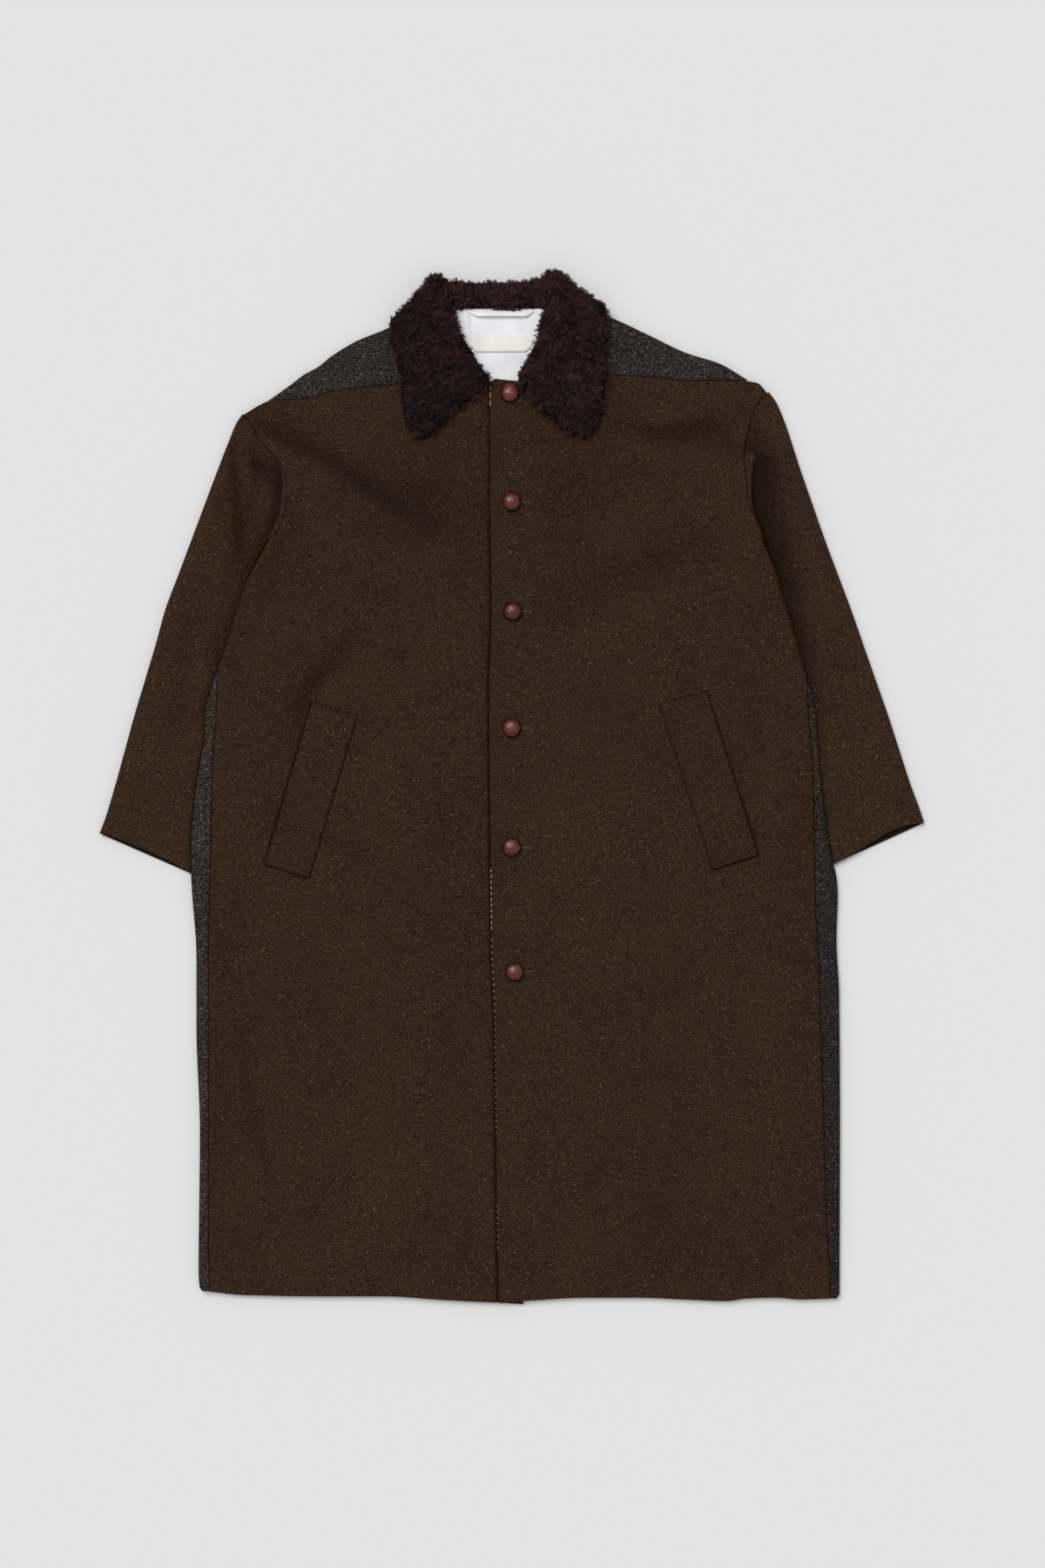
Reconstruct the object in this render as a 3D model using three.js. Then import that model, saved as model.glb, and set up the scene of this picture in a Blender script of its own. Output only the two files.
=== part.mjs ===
// A wide wool overcoat laid flat on its back, buttoned, sleeves beside the body.
// Millimetres, +Z up. The back rests on z = 0, the hem points to -Y, the collar to +Y,
// and the wearer's right is at -X. X = 0 is the middle of the laid coat.

import * as THREE from 'three';

// ---- driving dimensions -------------------------------------------------

const CLOTH = 3; // felted wool with its lining, one layer
const AIR = 3.6; // between the back and the fronts
const SEAM = 0.3; // clearance where pieces meet
const STACK = 2 * CLOTH + AIR; // height of the laid body
const SLEEVE_HEIGHT = 8.6; // two layers and the air between them
const STRIP_START = 112; // height on the body where the back's side strips begin
const STRIP_END = 138; // and where its edge lies flat again
const LAP_EDGE = 6; // edge of the under-lap, hidden under the over-lap
const LAP_AIR = 0.4; // left over the under-lap where it dips
const LAP_DIP = { from: -78, to: -42 }; // where the under-lap goes down, across the coat
const LEFT_FRONT_LIFT = 0.1; // the over-lap's front lies this much above the body's height
const HIDDEN_EDGE = 0.6; // of the back's side, behind a front, above the side strips
const SHORTEST_FLAT = 1.2; // of a yoke on its front, at the shoulder's end
const COLLAR_SECTIONS = 30;
const SLEEVE_SEAM_SET = 0.8; // from the sleeve's edge to its first full height
const SLEEVE_EASE = 16; // width over which the sleeve leaves the body's height
const SLEEVE_PLAIN_EDGE = 12; // beside the outer fold, with no soft folds in it
const DEEPEST_TROUGH = 1.6; // of a soft fold in a sleeve
const BUTTON_DIAMETER = 22;
const BUTTON_HEIGHT = 9;
const BUTTON_RIM = 2.2; // height of a button's widest part
const BUTTON_FOOT = 0.7; // its foot, as a share of its radius
const BUTTON_DOME = [25, 50, 72]; // degrees round its dome
const BUTTON_SIDES = 16;
const WELT_CLOTH = 3.2; // a welt is two layers pressed together
const LINING_CLOTH = 1.1;
const LINING_FACE = CLOTH + SEAM + LINING_CLOTH; // height of the lining on the back
const TAPE = 0.9;

const MATERIALS = {
  brown_wool: { color: 0x33251b, roughness: 0.95 },
  grey_wool: { color: 0x2e2a28, roughness: 0.97 },
  pile: { color: 0x241a1a, roughness: 1.0 },
  lining: { color: 0xededef, roughness: 0.6 },
  tape: { color: 0xedeae5, roughness: 0.7 },
  leather: { color: 0x4a2d28, roughness: 0.45 },
};

// ---- tables: a row for each section, fold or station --------------------

// Fronts: the line of each panel's side edge, from hem to shoulder. It is the side seam,
// then the fold over the sleeve, then the armhole seam.
const SIDE_RIGHT = [
  { y: -583, x: -356 }, { y: -480, x: -357 }, { y: -200, x: -357 }, { y: -62, x: -354 },
  { y: 0, x: -353 }, { y: 60, x: -349.4 }, { y: 112, x: -345 }, { y: 138, x: -340 },
  { y: 155, x: -337.5 },
  { y: 199, x: -324.5 }, { y: 241, x: -310 }, { y: 265, x: -296 }, { y: 281, x: -284 },
  { y: 297, x: -273.5 }, { y: 313, x: -268 }, { y: 332, x: -266.5 }, { y: 354, x: -268 },
  { y: 373, x: -276 }, { y: 394, x: -298 }, { y: 417, x: -311 }, { y: 424, x: -317 },
];
const SIDE_LEFT = [
  { y: -591, x: 358 }, { y: -480, x: 353 }, { y: -200, x: 344 }, { y: -62, x: 339.4 },
  { y: 0, x: 338.5 }, { y: 60, x: 334 }, { y: 104, x: 328 }, { y: 138, x: 322.5 },
  { y: 173, x: 317 }, { y: 217, x: 303 }, { y: 254, x: 292 }, { y: 284, x: 280 },
  { y: 310, x: 268 }, { y: 339, x: 262 }, { y: 368, x: 258.7 }, { y: 404, x: 263 },
  { y: 427, x: 269.5 }, { y: 440, x: 278 }, { y: 449, x: 285 },
];

// The body's outer fold, from hem to armhole, where the back turns up at the side.
const FOLD_RIGHT = [
  { y: -583, x: -366 }, { y: -560, x: -369 }, { y: -400, x: -368 }, { y: -240, x: -372 },
  { y: -120, x: -376.5 }, { y: -62, x: -377 }, { y: 0, x: -371 }, { y: 60, x: -362.5 },
  { y: 81, x: -361 }, { y: 101, x: -356.4 }, { y: 127, x: -349 }, { y: 138, x: -342.5 },
];
const FOLD_LEFT = [
  { y: -591, x: 367 }, { y: -560, x: 368.5 }, { y: -400, x: 369 }, { y: -240, x: 368 },
  { y: -160, x: 365.5 }, { y: -107, x: 364 }, { y: -76, x: 358 }, { y: -40, x: 353 },
  { y: 0, x: 348 }, { y: 60, x: 343 }, { y: 81, x: 341 }, { y: 120, x: 331.6 }, { y: 138, x: 325 },
];

// Hems, across the coat.
const HEM_RIGHT = [
  { x: -356, y: -583 }, { x: -316, y: -587 }, { x: -190, y: -588.5 }, { x: -88, y: -592.5 },
  { x: LAP_EDGE, y: -598 },
];
const HEM_LEFT = [
  { x: -23, y: -595.5 }, { x: 17, y: -593 }, { x: 105, y: -590 }, { x: 237, y: -594 },
  { x: 296, y: -590 }, { x: 322, y: -592 }, { x: 358, y: -591 },
];
const HEM_BACK = [
  { x: -370, y: -583 }, { x: -340, y: -584 }, { x: 0, y: -588 }, { x: 340, y: -589 },
  { x: 370, y: -591 },
];

// The closing edges, from hem to neck.
const EDGE_LEFT_FRONT = [
  { y: -595.5, x: -23 }, { y: -480, x: -25 }, { y: -257, x: -28 }, { y: -104, x: -32 },
  { y: 100, x: -33.5 }, { y: 340, x: -33 }, { y: 455, x: -33 }, { y: 464, x: -30 },
];

// The seam between a yoke and its front, from the shoulder to the neck.
const YOKE_SEAM_RIGHT = [
  { x: -317, y: 424 }, { x: -291, y: 438.5 }, { x: -281, y: 440.5 }, { x: -244, y: 442.5 },
  { x: -214, y: 451 }, { x: -166, y: 457 }, { x: -120, y: 460 }, { x: LAP_EDGE, y: 459 },
];
const YOKE_SEAM_LEFT = [
  { x: -30, y: 464 }, { x: 1, y: 463 }, { x: 60, y: 468 }, { x: 104, y: 470 },
  { x: 155, y: 467 }, { x: 193, y: 463.5 }, { x: 257, y: 462.5 }, { x: 274, y: 459 },
  { x: 285, y: 449 },
];

// The shoulder fold, from the sleeve to the neck.
const SHOULDER_RIGHT = [
  { x: -317, y: 424 }, { x: -291, y: 440 }, { x: -261, y: 460 }, { x: -218, y: 490 },
  { x: -185, y: 510 }, { x: -160, y: 520 }, { x: -96, y: 549 },
];
const SHOULDER_LEFT = [
  { x: 50, y: 556 }, { x: 106, y: 536 }, { x: 149, y: 516 }, { x: 191, y: 496 },
  { x: 231, y: 483 }, { x: 259, y: 466 }, { x: 274, y: 460 }, { x: 285, y: 449 },
];

// The back's upper edge: the straight seams under the yokes' lips, and the neck between them.
const BACK_TOP = [
  { x: -305, y: 424 }, { x: -276, y: 443.5 }, { x: -104, y: 530.7 }, { x: -98, y: 543.7 },
  { x: 52, y: 543.7 }, { x: 58, y: 537.7 }, { x: 240, y: 471.2 }, { x: 273, y: 449 },
];
const BACK_COLUMNS = [-276, -240, -195, -150, -104, -98, -25, 52, 58, 105, 150, 195, 240];

// Sleeves: a row for each ring, from the cuff to the shoulder, by the height where the ring
// meets the body. The fold is the sleeve's free outer edge. A ring is open to the body where
// closed is 0, and joined by the underarm seam where it is 1.
const SLEEVE_RIGHT = [
  { y: -101, foldX: -482.6, foldY: -57, closed: 1 },
  { y: -62, foldX: -476, foldY: -40, closed: 1 },
  { y: -3, foldX: -464, foldY: 0, closed: 1 },
  { y: 80, foldX: -442, foldY: 80, closed: 1 },
  { y: 119, foldX: -430, foldY: 120, closed: 1 },
  { y: 158, foldX: -418, foldY: 160, closed: 1 },
  { y: 199, foldX: -407, foldY: 200, closed: 0.7 },
  { y: 240, foldX: -392, foldY: 240, closed: 0.2 },
  { y: 282, foldX: -377, foldY: 280, closed: 0 },
  { y: 325, foldX: -362, foldY: 320, closed: 0 },
  { y: 361, foldX: -347, foldY: 360, closed: 0 },
  { y: 392, foldX: -334, foldY: 394, closed: 0 },
  { y: 416, foldX: -321.5, foldY: 419, closed: 0 },
];
const SLEEVE_LEFT = [
  { y: -91, foldX: 466, foldY: -44.5, closed: 1 },
  { y: -42, foldX: 460, foldY: -27, closed: 1 },
  { y: 0, foldX: 450, foldY: 0, closed: 1 },
  { y: 79, foldX: 424, foldY: 80, closed: 1 },
  { y: 119, foldX: 410, foldY: 120, closed: 1 },
  { y: 161, foldX: 396, foldY: 160, closed: 1 },
  { y: 200, foldX: 382, foldY: 200, closed: 0.7 },
  { y: 240, foldX: 367, foldY: 240, closed: 0.2 },
  { y: 280, foldX: 352, foldY: 280, closed: 0 },
  { y: 320, foldX: 338, foldY: 320, closed: 0 },
  { y: 362, foldX: 324, foldY: 360, closed: 0 },
  { y: 418, foldX: 304, foldY: 420, closed: 0 },
  { y: 440, foldX: 292.5, foldY: 444, closed: 0 },
];

// Collar: a row for each section across it, from the right leaf's end round the neck to the
// left leaf's end, with the heights of its underside and of its pile at both edges.
const COLLAR = [
  { neckX: -36, neckY: 458, edgeX: -114, edgeY: 394, low: 10.1, neckTop: 18, edgeTop: 19 },
  { neckX: -44, neckY: 478, edgeX: -134, edgeY: 450, low: 10.1, neckTop: 22, edgeTop: 22 },
  { neckX: -58, neckY: 506, edgeX: -147, edgeY: 508, low: 10.1, neckTop: 23, edgeTop: 23 },
  { neckX: -68, neckY: 524, edgeX: -149, edgeY: 534, low: 10.1, neckTop: 23, edgeTop: 23 },
  { neckX: -71, neckY: 540, edgeX: -116, edgeY: 565, low: 10.1, neckTop: 23, edgeTop: 24 },
  { neckX: -70, neckY: 544, edgeX: -97, edgeY: 584, low: 10.1, neckTop: 21, edgeTop: 25 },
  { neckX: -62, neckY: 545, edgeX: -82, edgeY: 577, low: 0, neckTop: 13, edgeTop: 23 },
  { neckX: -23, neckY: 545, edgeX: -23, edgeY: 577, low: 0, neckTop: 11, edgeTop: 23 },
  { neckX: 15, neckY: 545, edgeX: 25, edgeY: 580, low: 0, neckTop: 13, edgeTop: 23 },
  { neckX: 24, neckY: 544, edgeX: 37, edgeY: 588, low: 10.1, neckTop: 21, edgeTop: 25 },
  { neckX: 26, neckY: 540, edgeX: 60, edgeY: 578, low: 10.1, neckTop: 23, edgeTop: 24 },
  { neckX: 22, neckY: 526, edgeX: 98, edgeY: 552, low: 10.1, neckTop: 23, edgeTop: 23 },
  { neckX: 20, neckY: 516, edgeX: 105, edgeY: 534, low: 10.1, neckTop: 23, edgeTop: 23 },
  { neckX: 11, neckY: 493, edgeX: 102, edgeY: 490, low: 10.1, neckTop: 23, edgeTop: 23 },
  { neckX: 6, neckY: 476, edgeX: 101, edgeY: 460, low: 10.1, neckTop: 22, edgeTop: 22 },
  { neckX: 2, neckY: 451, edgeX: 82, edgeY: 399, low: 10.1, neckTop: 18, edgeTop: 19 },
];

// Soft folds in the fronts and sleeves: a ridge (or trough, when its rise is negative) from
// one point to another, with its half-width.
const FOLDS_RIGHT_FRONT = [
  { x1: -304, y1: 408, x2: -171, y2: 348, rise: -2.6, width: 22 },
  { x1: -250, y1: 300, x2: -110, y2: 325, rise: 3.2, width: 34 },
  { x1: -166, y1: 290, x2: -66, y2: 290, rise: -2.2, width: 20 },
  { x1: -266, y1: 40, x2: -214, y2: 134, rise: -1.8, width: 24 },
  { x1: -300, y1: 120, x2: -235, y2: 210, rise: 3.4, width: 26 },
  { x1: -311, y1: -340, x2: -296, y2: -500, rise: -2.4, width: 22 },
  { x1: -250, y1: -250, x2: -240, y2: -540, rise: 2.4, width: 40 },
  { x1: -130, y1: -120, x2: -120, y2: -470, rise: 1.8, width: 46 },
];
const FOLDS_LEFT_FRONT = [
  { x1: 131, y1: 403, x2: 241, y2: 438, rise: 4.6, width: 15 },
  { x1: 165, y1: 392, x2: 250, y2: 404, rise: -2.4, width: 16 },
  { x1: 30, y1: 205, x2: 199, y2: 268, rise: -2.4, width: 22 },
  { x1: 90, y1: 300, x2: 235, y2: 330, rise: 3.0, width: 36 },
  { x1: 276, y1: 60, x2: 314, y2: -90, rise: 4.2, width: 18 },
  { x1: 292, y1: 200, x2: 250, y2: 130, rise: 2.6, width: 26 },
  { x1: 120, y1: -150, x2: 130, y2: -520, rise: 2.2, width: 44 },
  { x1: 250, y1: -260, x2: 262, y2: -540, rise: 2.0, width: 36 },
];
const FOLDS_RIGHT_SLEEVE = [
  { x1: -329, y1: 388, x2: -324, y2: 310, rise: -1.5, width: 12 },
  { x1: -345, y1: 330, x2: -385, y2: 190, rise: 4.2, width: 22 },
  { x1: -400, y1: 120, x2: -425, y2: -10, rise: 3.0, width: 24 },
];
const FOLDS_LEFT_SLEEVE = [
  { x1: 305, y1: 330, x2: 372, y2: 170, rise: 5.4, width: 19 },
  { x1: 385, y1: 90, x2: 410, y2: -20, rise: 3.0, width: 26 },
];

const BUTTONS = [
  { x: -10.4, y: 448.6 }, { x: -8.2, y: 324 }, { x: -7.4, y: 198 },
  { x: -8.7, y: 64.3 }, { x: -8.6, y: -72.7 }, { x: -5, y: -215.5 },
];

// Welts: their four corners, from the top of the sewn edge round to the top of the mouth.
const WELT_RIGHT = [
  { x: -185.5, y: 78 }, { x: -241.5, y: -108.5 }, { x: -291, y: -92 }, { x: -238, y: 94 },
];
const WELT_LEFT = [
  { x: 161.6, y: 91 }, { x: 223.4, y: -98.6 }, { x: 274.4, y: -81.6 }, { x: 215.6, y: 105 },
];

// The lining that shows in the neck: its two edges, straight up to the place where they widen.
const NECK_LINING = {
  low: 461, top: 543.4, widest: 530, narrow: { left: -66, right: 22 }, wide: { left: -92, right: 48 },
};
// The loop, sewn at both ends, that hangs a little between them.
const HANGER_LOOP = { left: -60, right: 16, top: 543, width: 6, sag: 7, ends: 0.16 };
// The label, a row for each line across it; its two lower corners are cut.
const NECK_LABEL = [
  { y: 515, left: -56, right: 15 }, { y: 506, left: -58, right: 16 }, { y: 496, left: -45, right: 7 },
];
// The collar's section: place across it, and share of the height there.
const COLLAR_SECTION = [
  { across: 0.05, share: 0 }, { across: 0.35, share: 0 }, { across: 0.65, share: 0 },
  { across: 0.96, share: 0 }, { across: 1, share: 0.45 }, { across: 0.95, share: 0.9 },
  { across: 0.75, share: 1 }, { across: 0.4, share: 1 }, { across: 0.08, share: 0.92 },
  { across: 0, share: 0.45 },
];
// The stretch of each shoulder where the yoke is turned over it.
const YOKE_RIGHT = { from: -276, to: -104 };
const YOKE_LEFT = { from: 58, to: 240 };

// ---- helpers ------------------------------------------------------------

const lerp = (a, b, t) => a + (b - a) * t;
const clamp01 = (t) => Math.min(1, Math.max(0, t));

function smooth(from, to, value) {
  const t = clamp01((value - from) / (to - from));
  return t * t * (3 - 2 * t);
}

// A smooth curve through a table's rows, with no overshoot between them.
function through(rows, key, value) {
  const xs = rows.map((row) => row[key]);
  const ys = rows.map((row) => row[value]);
  const slopes = xs.slice(1).map((x, i) => (ys[i + 1] - ys[i]) / (x - xs[i]));
  const tangents = xs.map((_, i) => {
    const before = slopes[Math.max(0, i - 1)];
    const after = slopes[Math.min(slopes.length - 1, i)];
    return before * after <= 0 ? 0 : (2 * before * after) / (before + after);
  });
  return (at) => {
    let i = 0;
    while (i < xs.length - 2 && at > xs[i + 1]) i += 1;
    const span = xs[i + 1] - xs[i];
    const t = clamp01((at - xs[i]) / span);
    const rest = 1 - t;
    const start = ys[i] * (1 + 2 * t) + tangents[i] * span * t;
    const end = ys[i + 1] * (3 - 2 * t) - tangents[i + 1] * span * rest;
    return rest * rest * start + t * t * end;
  };
}

// Straight lines through a table's rows.
function straight(rows, key, value) {
  return (at) => {
    const next = rows.findIndex((row, i) => i > 0 && (at <= row[key] || i === rows.length - 1));
    const [a, b] = [rows[next - 1], rows[next]];
    return lerp(a[value], b[value], (at - a[key]) / (b[key] - a[key]));
  };
}

// A table whose rows are evenly spaced stations, read at any place between 0 and 1.
function stations(rows, keys) {
  const numbered = rows.map((row, i) => ({ ...row, station: i / (rows.length - 1) }));
  const curves = keys.map((key) => [key, through(numbered, 'station', key)]);
  return (at) => Object.fromEntries(curves.map(([key, curve]) => [key, curve(at)]));
}

// The rise of a table of folds at a point.
function rise(folds, x, y) {
  return folds.reduce((sum, fold) => {
    const alongX = fold.x2 - fold.x1;
    const alongY = fold.y2 - fold.y1;
    const length2 = alongX * alongX + alongY * alongY;
    const t = ((x - fold.x1) * alongX + (y - fold.y1) * alongY) / length2;
    const near = clamp01(t);
    const dx = x - fold.x1 - alongX * near;
    const dy = y - fold.y1 - alongY * near;
    const fade = 1 - 0.6 * Math.abs(2 * near - 1) ** 2;
    return sum + fold.rise * fade * Math.exp(-(dx * dx + dy * dy) / fold.width ** 2);
  }, 0);
}

// Evenly spaced steps between breaks, such as few rows on a plain stretch and more on a curve.
function steps(breaks) {
  const values = [breaks[0].at];
  breaks.slice(1).forEach((next, i) => {
    for (let k = 1; k <= next.count; k += 1) values.push(lerp(breaks[i].at, next.at, k / next.count));
  });
  return values;
}

// A closed wall between two grids of points, face and lining side, of the same size.
function wall(face, inside) {
  const rows = face.length;
  const columns = face[0].length;
  const points = [...face.flat(), ...inside.flat()];
  const at = (side, row, column) => side * rows * columns + row * columns + column;
  const index = [];
  const quad = (a, b, c, d) => index.push(a, b, c, a, c, d);
  for (let r = 0; r < rows - 1; r += 1) {
    for (let c = 0; c < columns - 1; c += 1) {
      quad(at(0, r, c), at(0, r, c + 1), at(0, r + 1, c + 1), at(0, r + 1, c));
      quad(at(1, r, c), at(1, r + 1, c), at(1, r + 1, c + 1), at(1, r, c + 1));
    }
  }
  for (let c = 0; c < columns - 1; c += 1) {
    quad(at(0, 0, c + 1), at(0, 0, c), at(1, 0, c), at(1, 0, c + 1));
    quad(at(0, rows - 1, c), at(0, rows - 1, c + 1), at(1, rows - 1, c + 1), at(1, rows - 1, c));
  }
  for (let r = 0; r < rows - 1; r += 1) {
    quad(at(0, r, 0), at(0, r + 1, 0), at(1, r + 1, 0), at(1, r, 0));
    quad(at(0, r + 1, columns - 1), at(0, r, columns - 1), at(1, r, columns - 1), at(1, r + 1, columns - 1));
  }
  return closed(points, index);
}

// A closed body through rings of the same number of points, with its two ends filled.
function loft(rings) {
  const count = rings[0].length;
  const points = rings.flat();
  const index = [];
  for (let r = 0; r < rings.length - 1; r += 1) {
    for (let k = 0; k < count; k += 1) {
      const a = r * count + k;
      const b = r * count + ((k + 1) % count);
      index.push(a, b, b + count, a, b + count, a + count);
    }
  }
  [0, rings.length - 1].forEach((r) => {
    for (let k = 1; k < count - 1; k += 1) {
      const fan = [r * count, r * count + k, r * count + k + 1];
      index.push(...(r === 0 ? fan.reverse() : fan));
    }
  });
  return closed(points, index);
}

// The indexed geometry, turned so that its faces point out.
function closed(points, index) {
  let volume = 0;
  for (let i = 0; i < index.length; i += 3) {
    const [a, b, c] = [points[index[i]], points[index[i + 1]], points[index[i + 2]]];
    volume += a.dot(new THREE.Vector3().crossVectors(b, c));
  }
  const geometry = new THREE.BufferGeometry();
  geometry.setFromPoints(points);
  geometry.setIndex(volume < 0 ? index.reverse() : index);
  return geometry;
}

// A grid of plan points filling the patch between four edges, each a function of 0 to 1.
function patch({ bottom, top, start, end }, across, along) {
  const corner = [start(0), end(0), start(1), end(1)];
  const mix = (u, v, key) => {
    const ruled = lerp(start(v)[key], end(v)[key], u) + lerp(bottom(u)[key], top(u)[key], v);
    const low = lerp(corner[0][key], corner[1][key], u);
    const high = lerp(corner[2][key], corner[3][key], u);
    return ruled - lerp(low, high, v);
  };
  return along.map((v) => across.map((u) => ({ x: mix(u, v, 'x'), y: mix(u, v, 'y') })));
}

// A panel of even thickness over a plan grid, at the height that a function gives its face.
function panel(plan, faceHeight, thickness) {
  const layer = (drop) => plan.map((row) => row.map(
    ({ x, y }) => new THREE.Vector3(x, y, faceHeight(x, y) - drop),
  ));
  return wall(layer(0), layer(thickness));
}

// ---- body ---------------------------------------------------------------

const sideRight = through(SIDE_RIGHT, 'y', 'x');
const sideLeft = through(SIDE_LEFT, 'y', 'x');
const foldRight = through(FOLD_RIGHT, 'y', 'x');
const foldLeft = through(FOLD_LEFT, 'y', 'x');
const shoulderRight = through(SHOULDER_RIGHT, 'x', 'y');
const shoulderLeft = through(SHOULDER_LEFT, 'x', 'y');
const backTop = straight(BACK_TOP, 'x', 'y');

// Height of each front's face. The under-lap dips under the over-lap.
function faceRight(x, y) {
  const underLap = smooth(LAP_DIP.from, LAP_DIP.to, x);
  const folds = rise(FOLDS_RIGHT_FRONT, x, y) * (1 - smooth(-90, -45, x));
  return lerp(STACK, 2 * CLOTH + LAP_AIR, underLap) + folds;
}

function faceLeft(x, y) {
  return STACK + LEFT_FRONT_LIFT + rise(FOLDS_LEFT_FRONT, x, y) * smooth(LAP_EDGE, 50, x);
}

// Heights that the body's pieces and the sleeves share along each side.
const rowsUpTo = (hem, top) => steps([
  { at: hem }, { at: STRIP_START, count: 14 }, { at: STRIP_END, count: 2 }, { at: top, count: 13 },
]);
const ROWS_RIGHT = rowsUpTo(SIDE_RIGHT[0].y, SIDE_RIGHT.at(-1).y);
const ROWS_LEFT = rowsUpTo(SIDE_LEFT[0].y, SIDE_LEFT.at(-1).y);
const FRONT_COLUMNS = steps([
  { at: 0 }, { at: 0.24, count: 4 }, { at: 0.86, count: 8 }, { at: 1, count: 2 },
]);

// Where a front's columns meet its yoke.
function seamPoints(seam, from, to) {
  const line = through(seam, 'x', 'y');
  return FRONT_COLUMNS.map((u) => ({ x: lerp(from, to, u), y: line(lerp(from, to, u)) }));
}
const SEAM_RIGHT = seamPoints(YOKE_SEAM_RIGHT, YOKE_SEAM_RIGHT[0].x, YOKE_SEAM_RIGHT.at(-1).x);
const SEAM_LEFT = seamPoints(YOKE_SEAM_LEFT, YOKE_SEAM_LEFT.at(-1).x, YOKE_SEAM_LEFT[0].x);

// A front: rows from its side to its closing edge, between its hem and its yoke seam.
function front({ rows, side, hem, seam, edge, edgeHem, edgeTop, face }) {
  const hemLine = through(hem, 'x', 'y');
  const [low, high] = [rows[0], rows.at(-1)];
  const along = rows.map((y) => (y - low) / (high - low));
  const point = (line, y) => ({ x: line(y), y });
  const seamLine = stations(seam, ['x', 'y']);
  const plan = patch({
    start: (v) => point(side, lerp(low, high, v)),
    end: (v) => point(edge, lerp(edgeHem, edgeTop, v)),
    bottom: (u) => {
      const x = lerp(side(low), edge(edgeHem), u);
      return { x, y: hemLine(x) };
    },
    top: (u) => seamLine(FRONT_COLUMNS.indexOf(u) / (FRONT_COLUMNS.length - 1)),
  }, FRONT_COLUMNS, along);
  return panel(plan, face, CLOTH);
}

function frontRight() {
  return front({
    rows: ROWS_RIGHT, side: sideRight, hem: HEM_RIGHT, seam: SEAM_RIGHT, face: faceRight,
    edge: () => LAP_EDGE, edgeHem: HEM_RIGHT.at(-1).y, edgeTop: YOKE_SEAM_RIGHT.at(-1).y,
  });
}

function frontLeft() {
  return front({
    rows: ROWS_LEFT, side: sideLeft, hem: HEM_LEFT, seam: SEAM_LEFT, face: faceLeft,
    edge: through(EDGE_LEFT_FRONT, 'y', 'x'), edgeHem: EDGE_LEFT_FRONT[0].y,
    edgeTop: EDGE_LEFT_FRONT.at(-1).y,
  });
}

// One side of the back's section at a height on the body: plan and height of the points of a
// strip that turns up round the side fold. It lies flat where curl is 0.
function turnedEdge(curl, strip, count) {
  const radius = (STACK - CLOTH) / 2;
  const turned = Math.PI * radius;
  const lengths = steps([{ at: 0 }, { at: turned, count }, { at: turned + strip, count: 2 }]);
  return lengths.map((length) => {
    const bend = Math.min(length, turned);
    const angle = (curl * bend) / radius;
    const wide = curl > 0.01 ? (radius / curl) * Math.sin(angle) : bend;
    const tall = curl > 0.01 ? (radius / curl) * (1 - Math.cos(angle)) : 0;
    const straight = length - bend;
    return {
      out: wide + straight * Math.cos(angle), up: tall + straight * Math.sin(angle), angle,
    };
  });
}

// The back: flat underneath, turned up round both sides to the front's side seams.
function back() {
  const [topRight, topLeft] = [BACK_TOP[0], BACK_TOP.at(-1)];
  const hemLine = through(HEM_BACK, 'x', 'y');
  const columns = BACK_COLUMNS.map((x) => (x - topRight.x) / (topLeft.x - topRight.x));
  // Plan line where the flat part ends and the turned edge starts, with that edge's points.
  const edgeAt = (outward, fold, seam, y) => {
    const curl = 1 - smooth(STRIP_START, STRIP_END, y);
    const width = Math.abs(fold(y) - seam(y));
    const strip = curl > 0.99 ? Math.max(HIDDEN_EDGE, width - STACK / 2 - SEAM) : HIDDEN_EDGE;
    const points = turnedEdge(curl, strip, 5);
    const reach = Math.max(...points.map(({ out, angle }) => out + (CLOTH / 2) * Math.sin(angle)));
    const under = seam(y) - outward * HIDDEN_EDGE;
    return { start: (curl > 0 ? fold(y) : under) - outward * reach, points };
  };
  const layer = (side) => ROWS_RIGHT.map((y, row) => {
    const leftY = ROWS_LEFT[row];
    const rising = smooth(STRIP_END, topRight.y, y) ** 3;
    const hemming = 1 - smooth(ROWS_RIGHT[0], ROWS_RIGHT[2], y);
    const height = (x, u) => {
      const level = lerp(y, leftY, u);
      const top = backTop(x) - lerp(topRight.y, topLeft.y, u);
      const hem = hemLine(x) - lerp(ROWS_RIGHT[0], ROWS_LEFT[0], u);
      return level + hem * hemming + top * rising;
    };
    const right = edgeAt(-1, foldRight, sideRight, y);
    const left = edgeAt(1, foldLeft, sideLeft, leftY);
    const flat = columns.map((u) => {
      const x = lerp(right.start, left.start, u);
      return new THREE.Vector3(x, height(x, u), side * CLOTH);
    });
    const turn = ({ points, start }, outward, level) => points.map(({ out, up, angle }) => {
      const offset = (side - 0.5) * CLOTH;
      const x = start + outward * (out - offset * Math.sin(angle));
      return new THREE.Vector3(x, level, CLOTH / 2 + up + offset * Math.cos(angle));
    });
    return [...turn(right, -1, y).reverse(), ...flat, ...turn(left, 1, leftY)];
  });
  return wall(layer(0), layer(1));
}

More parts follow.
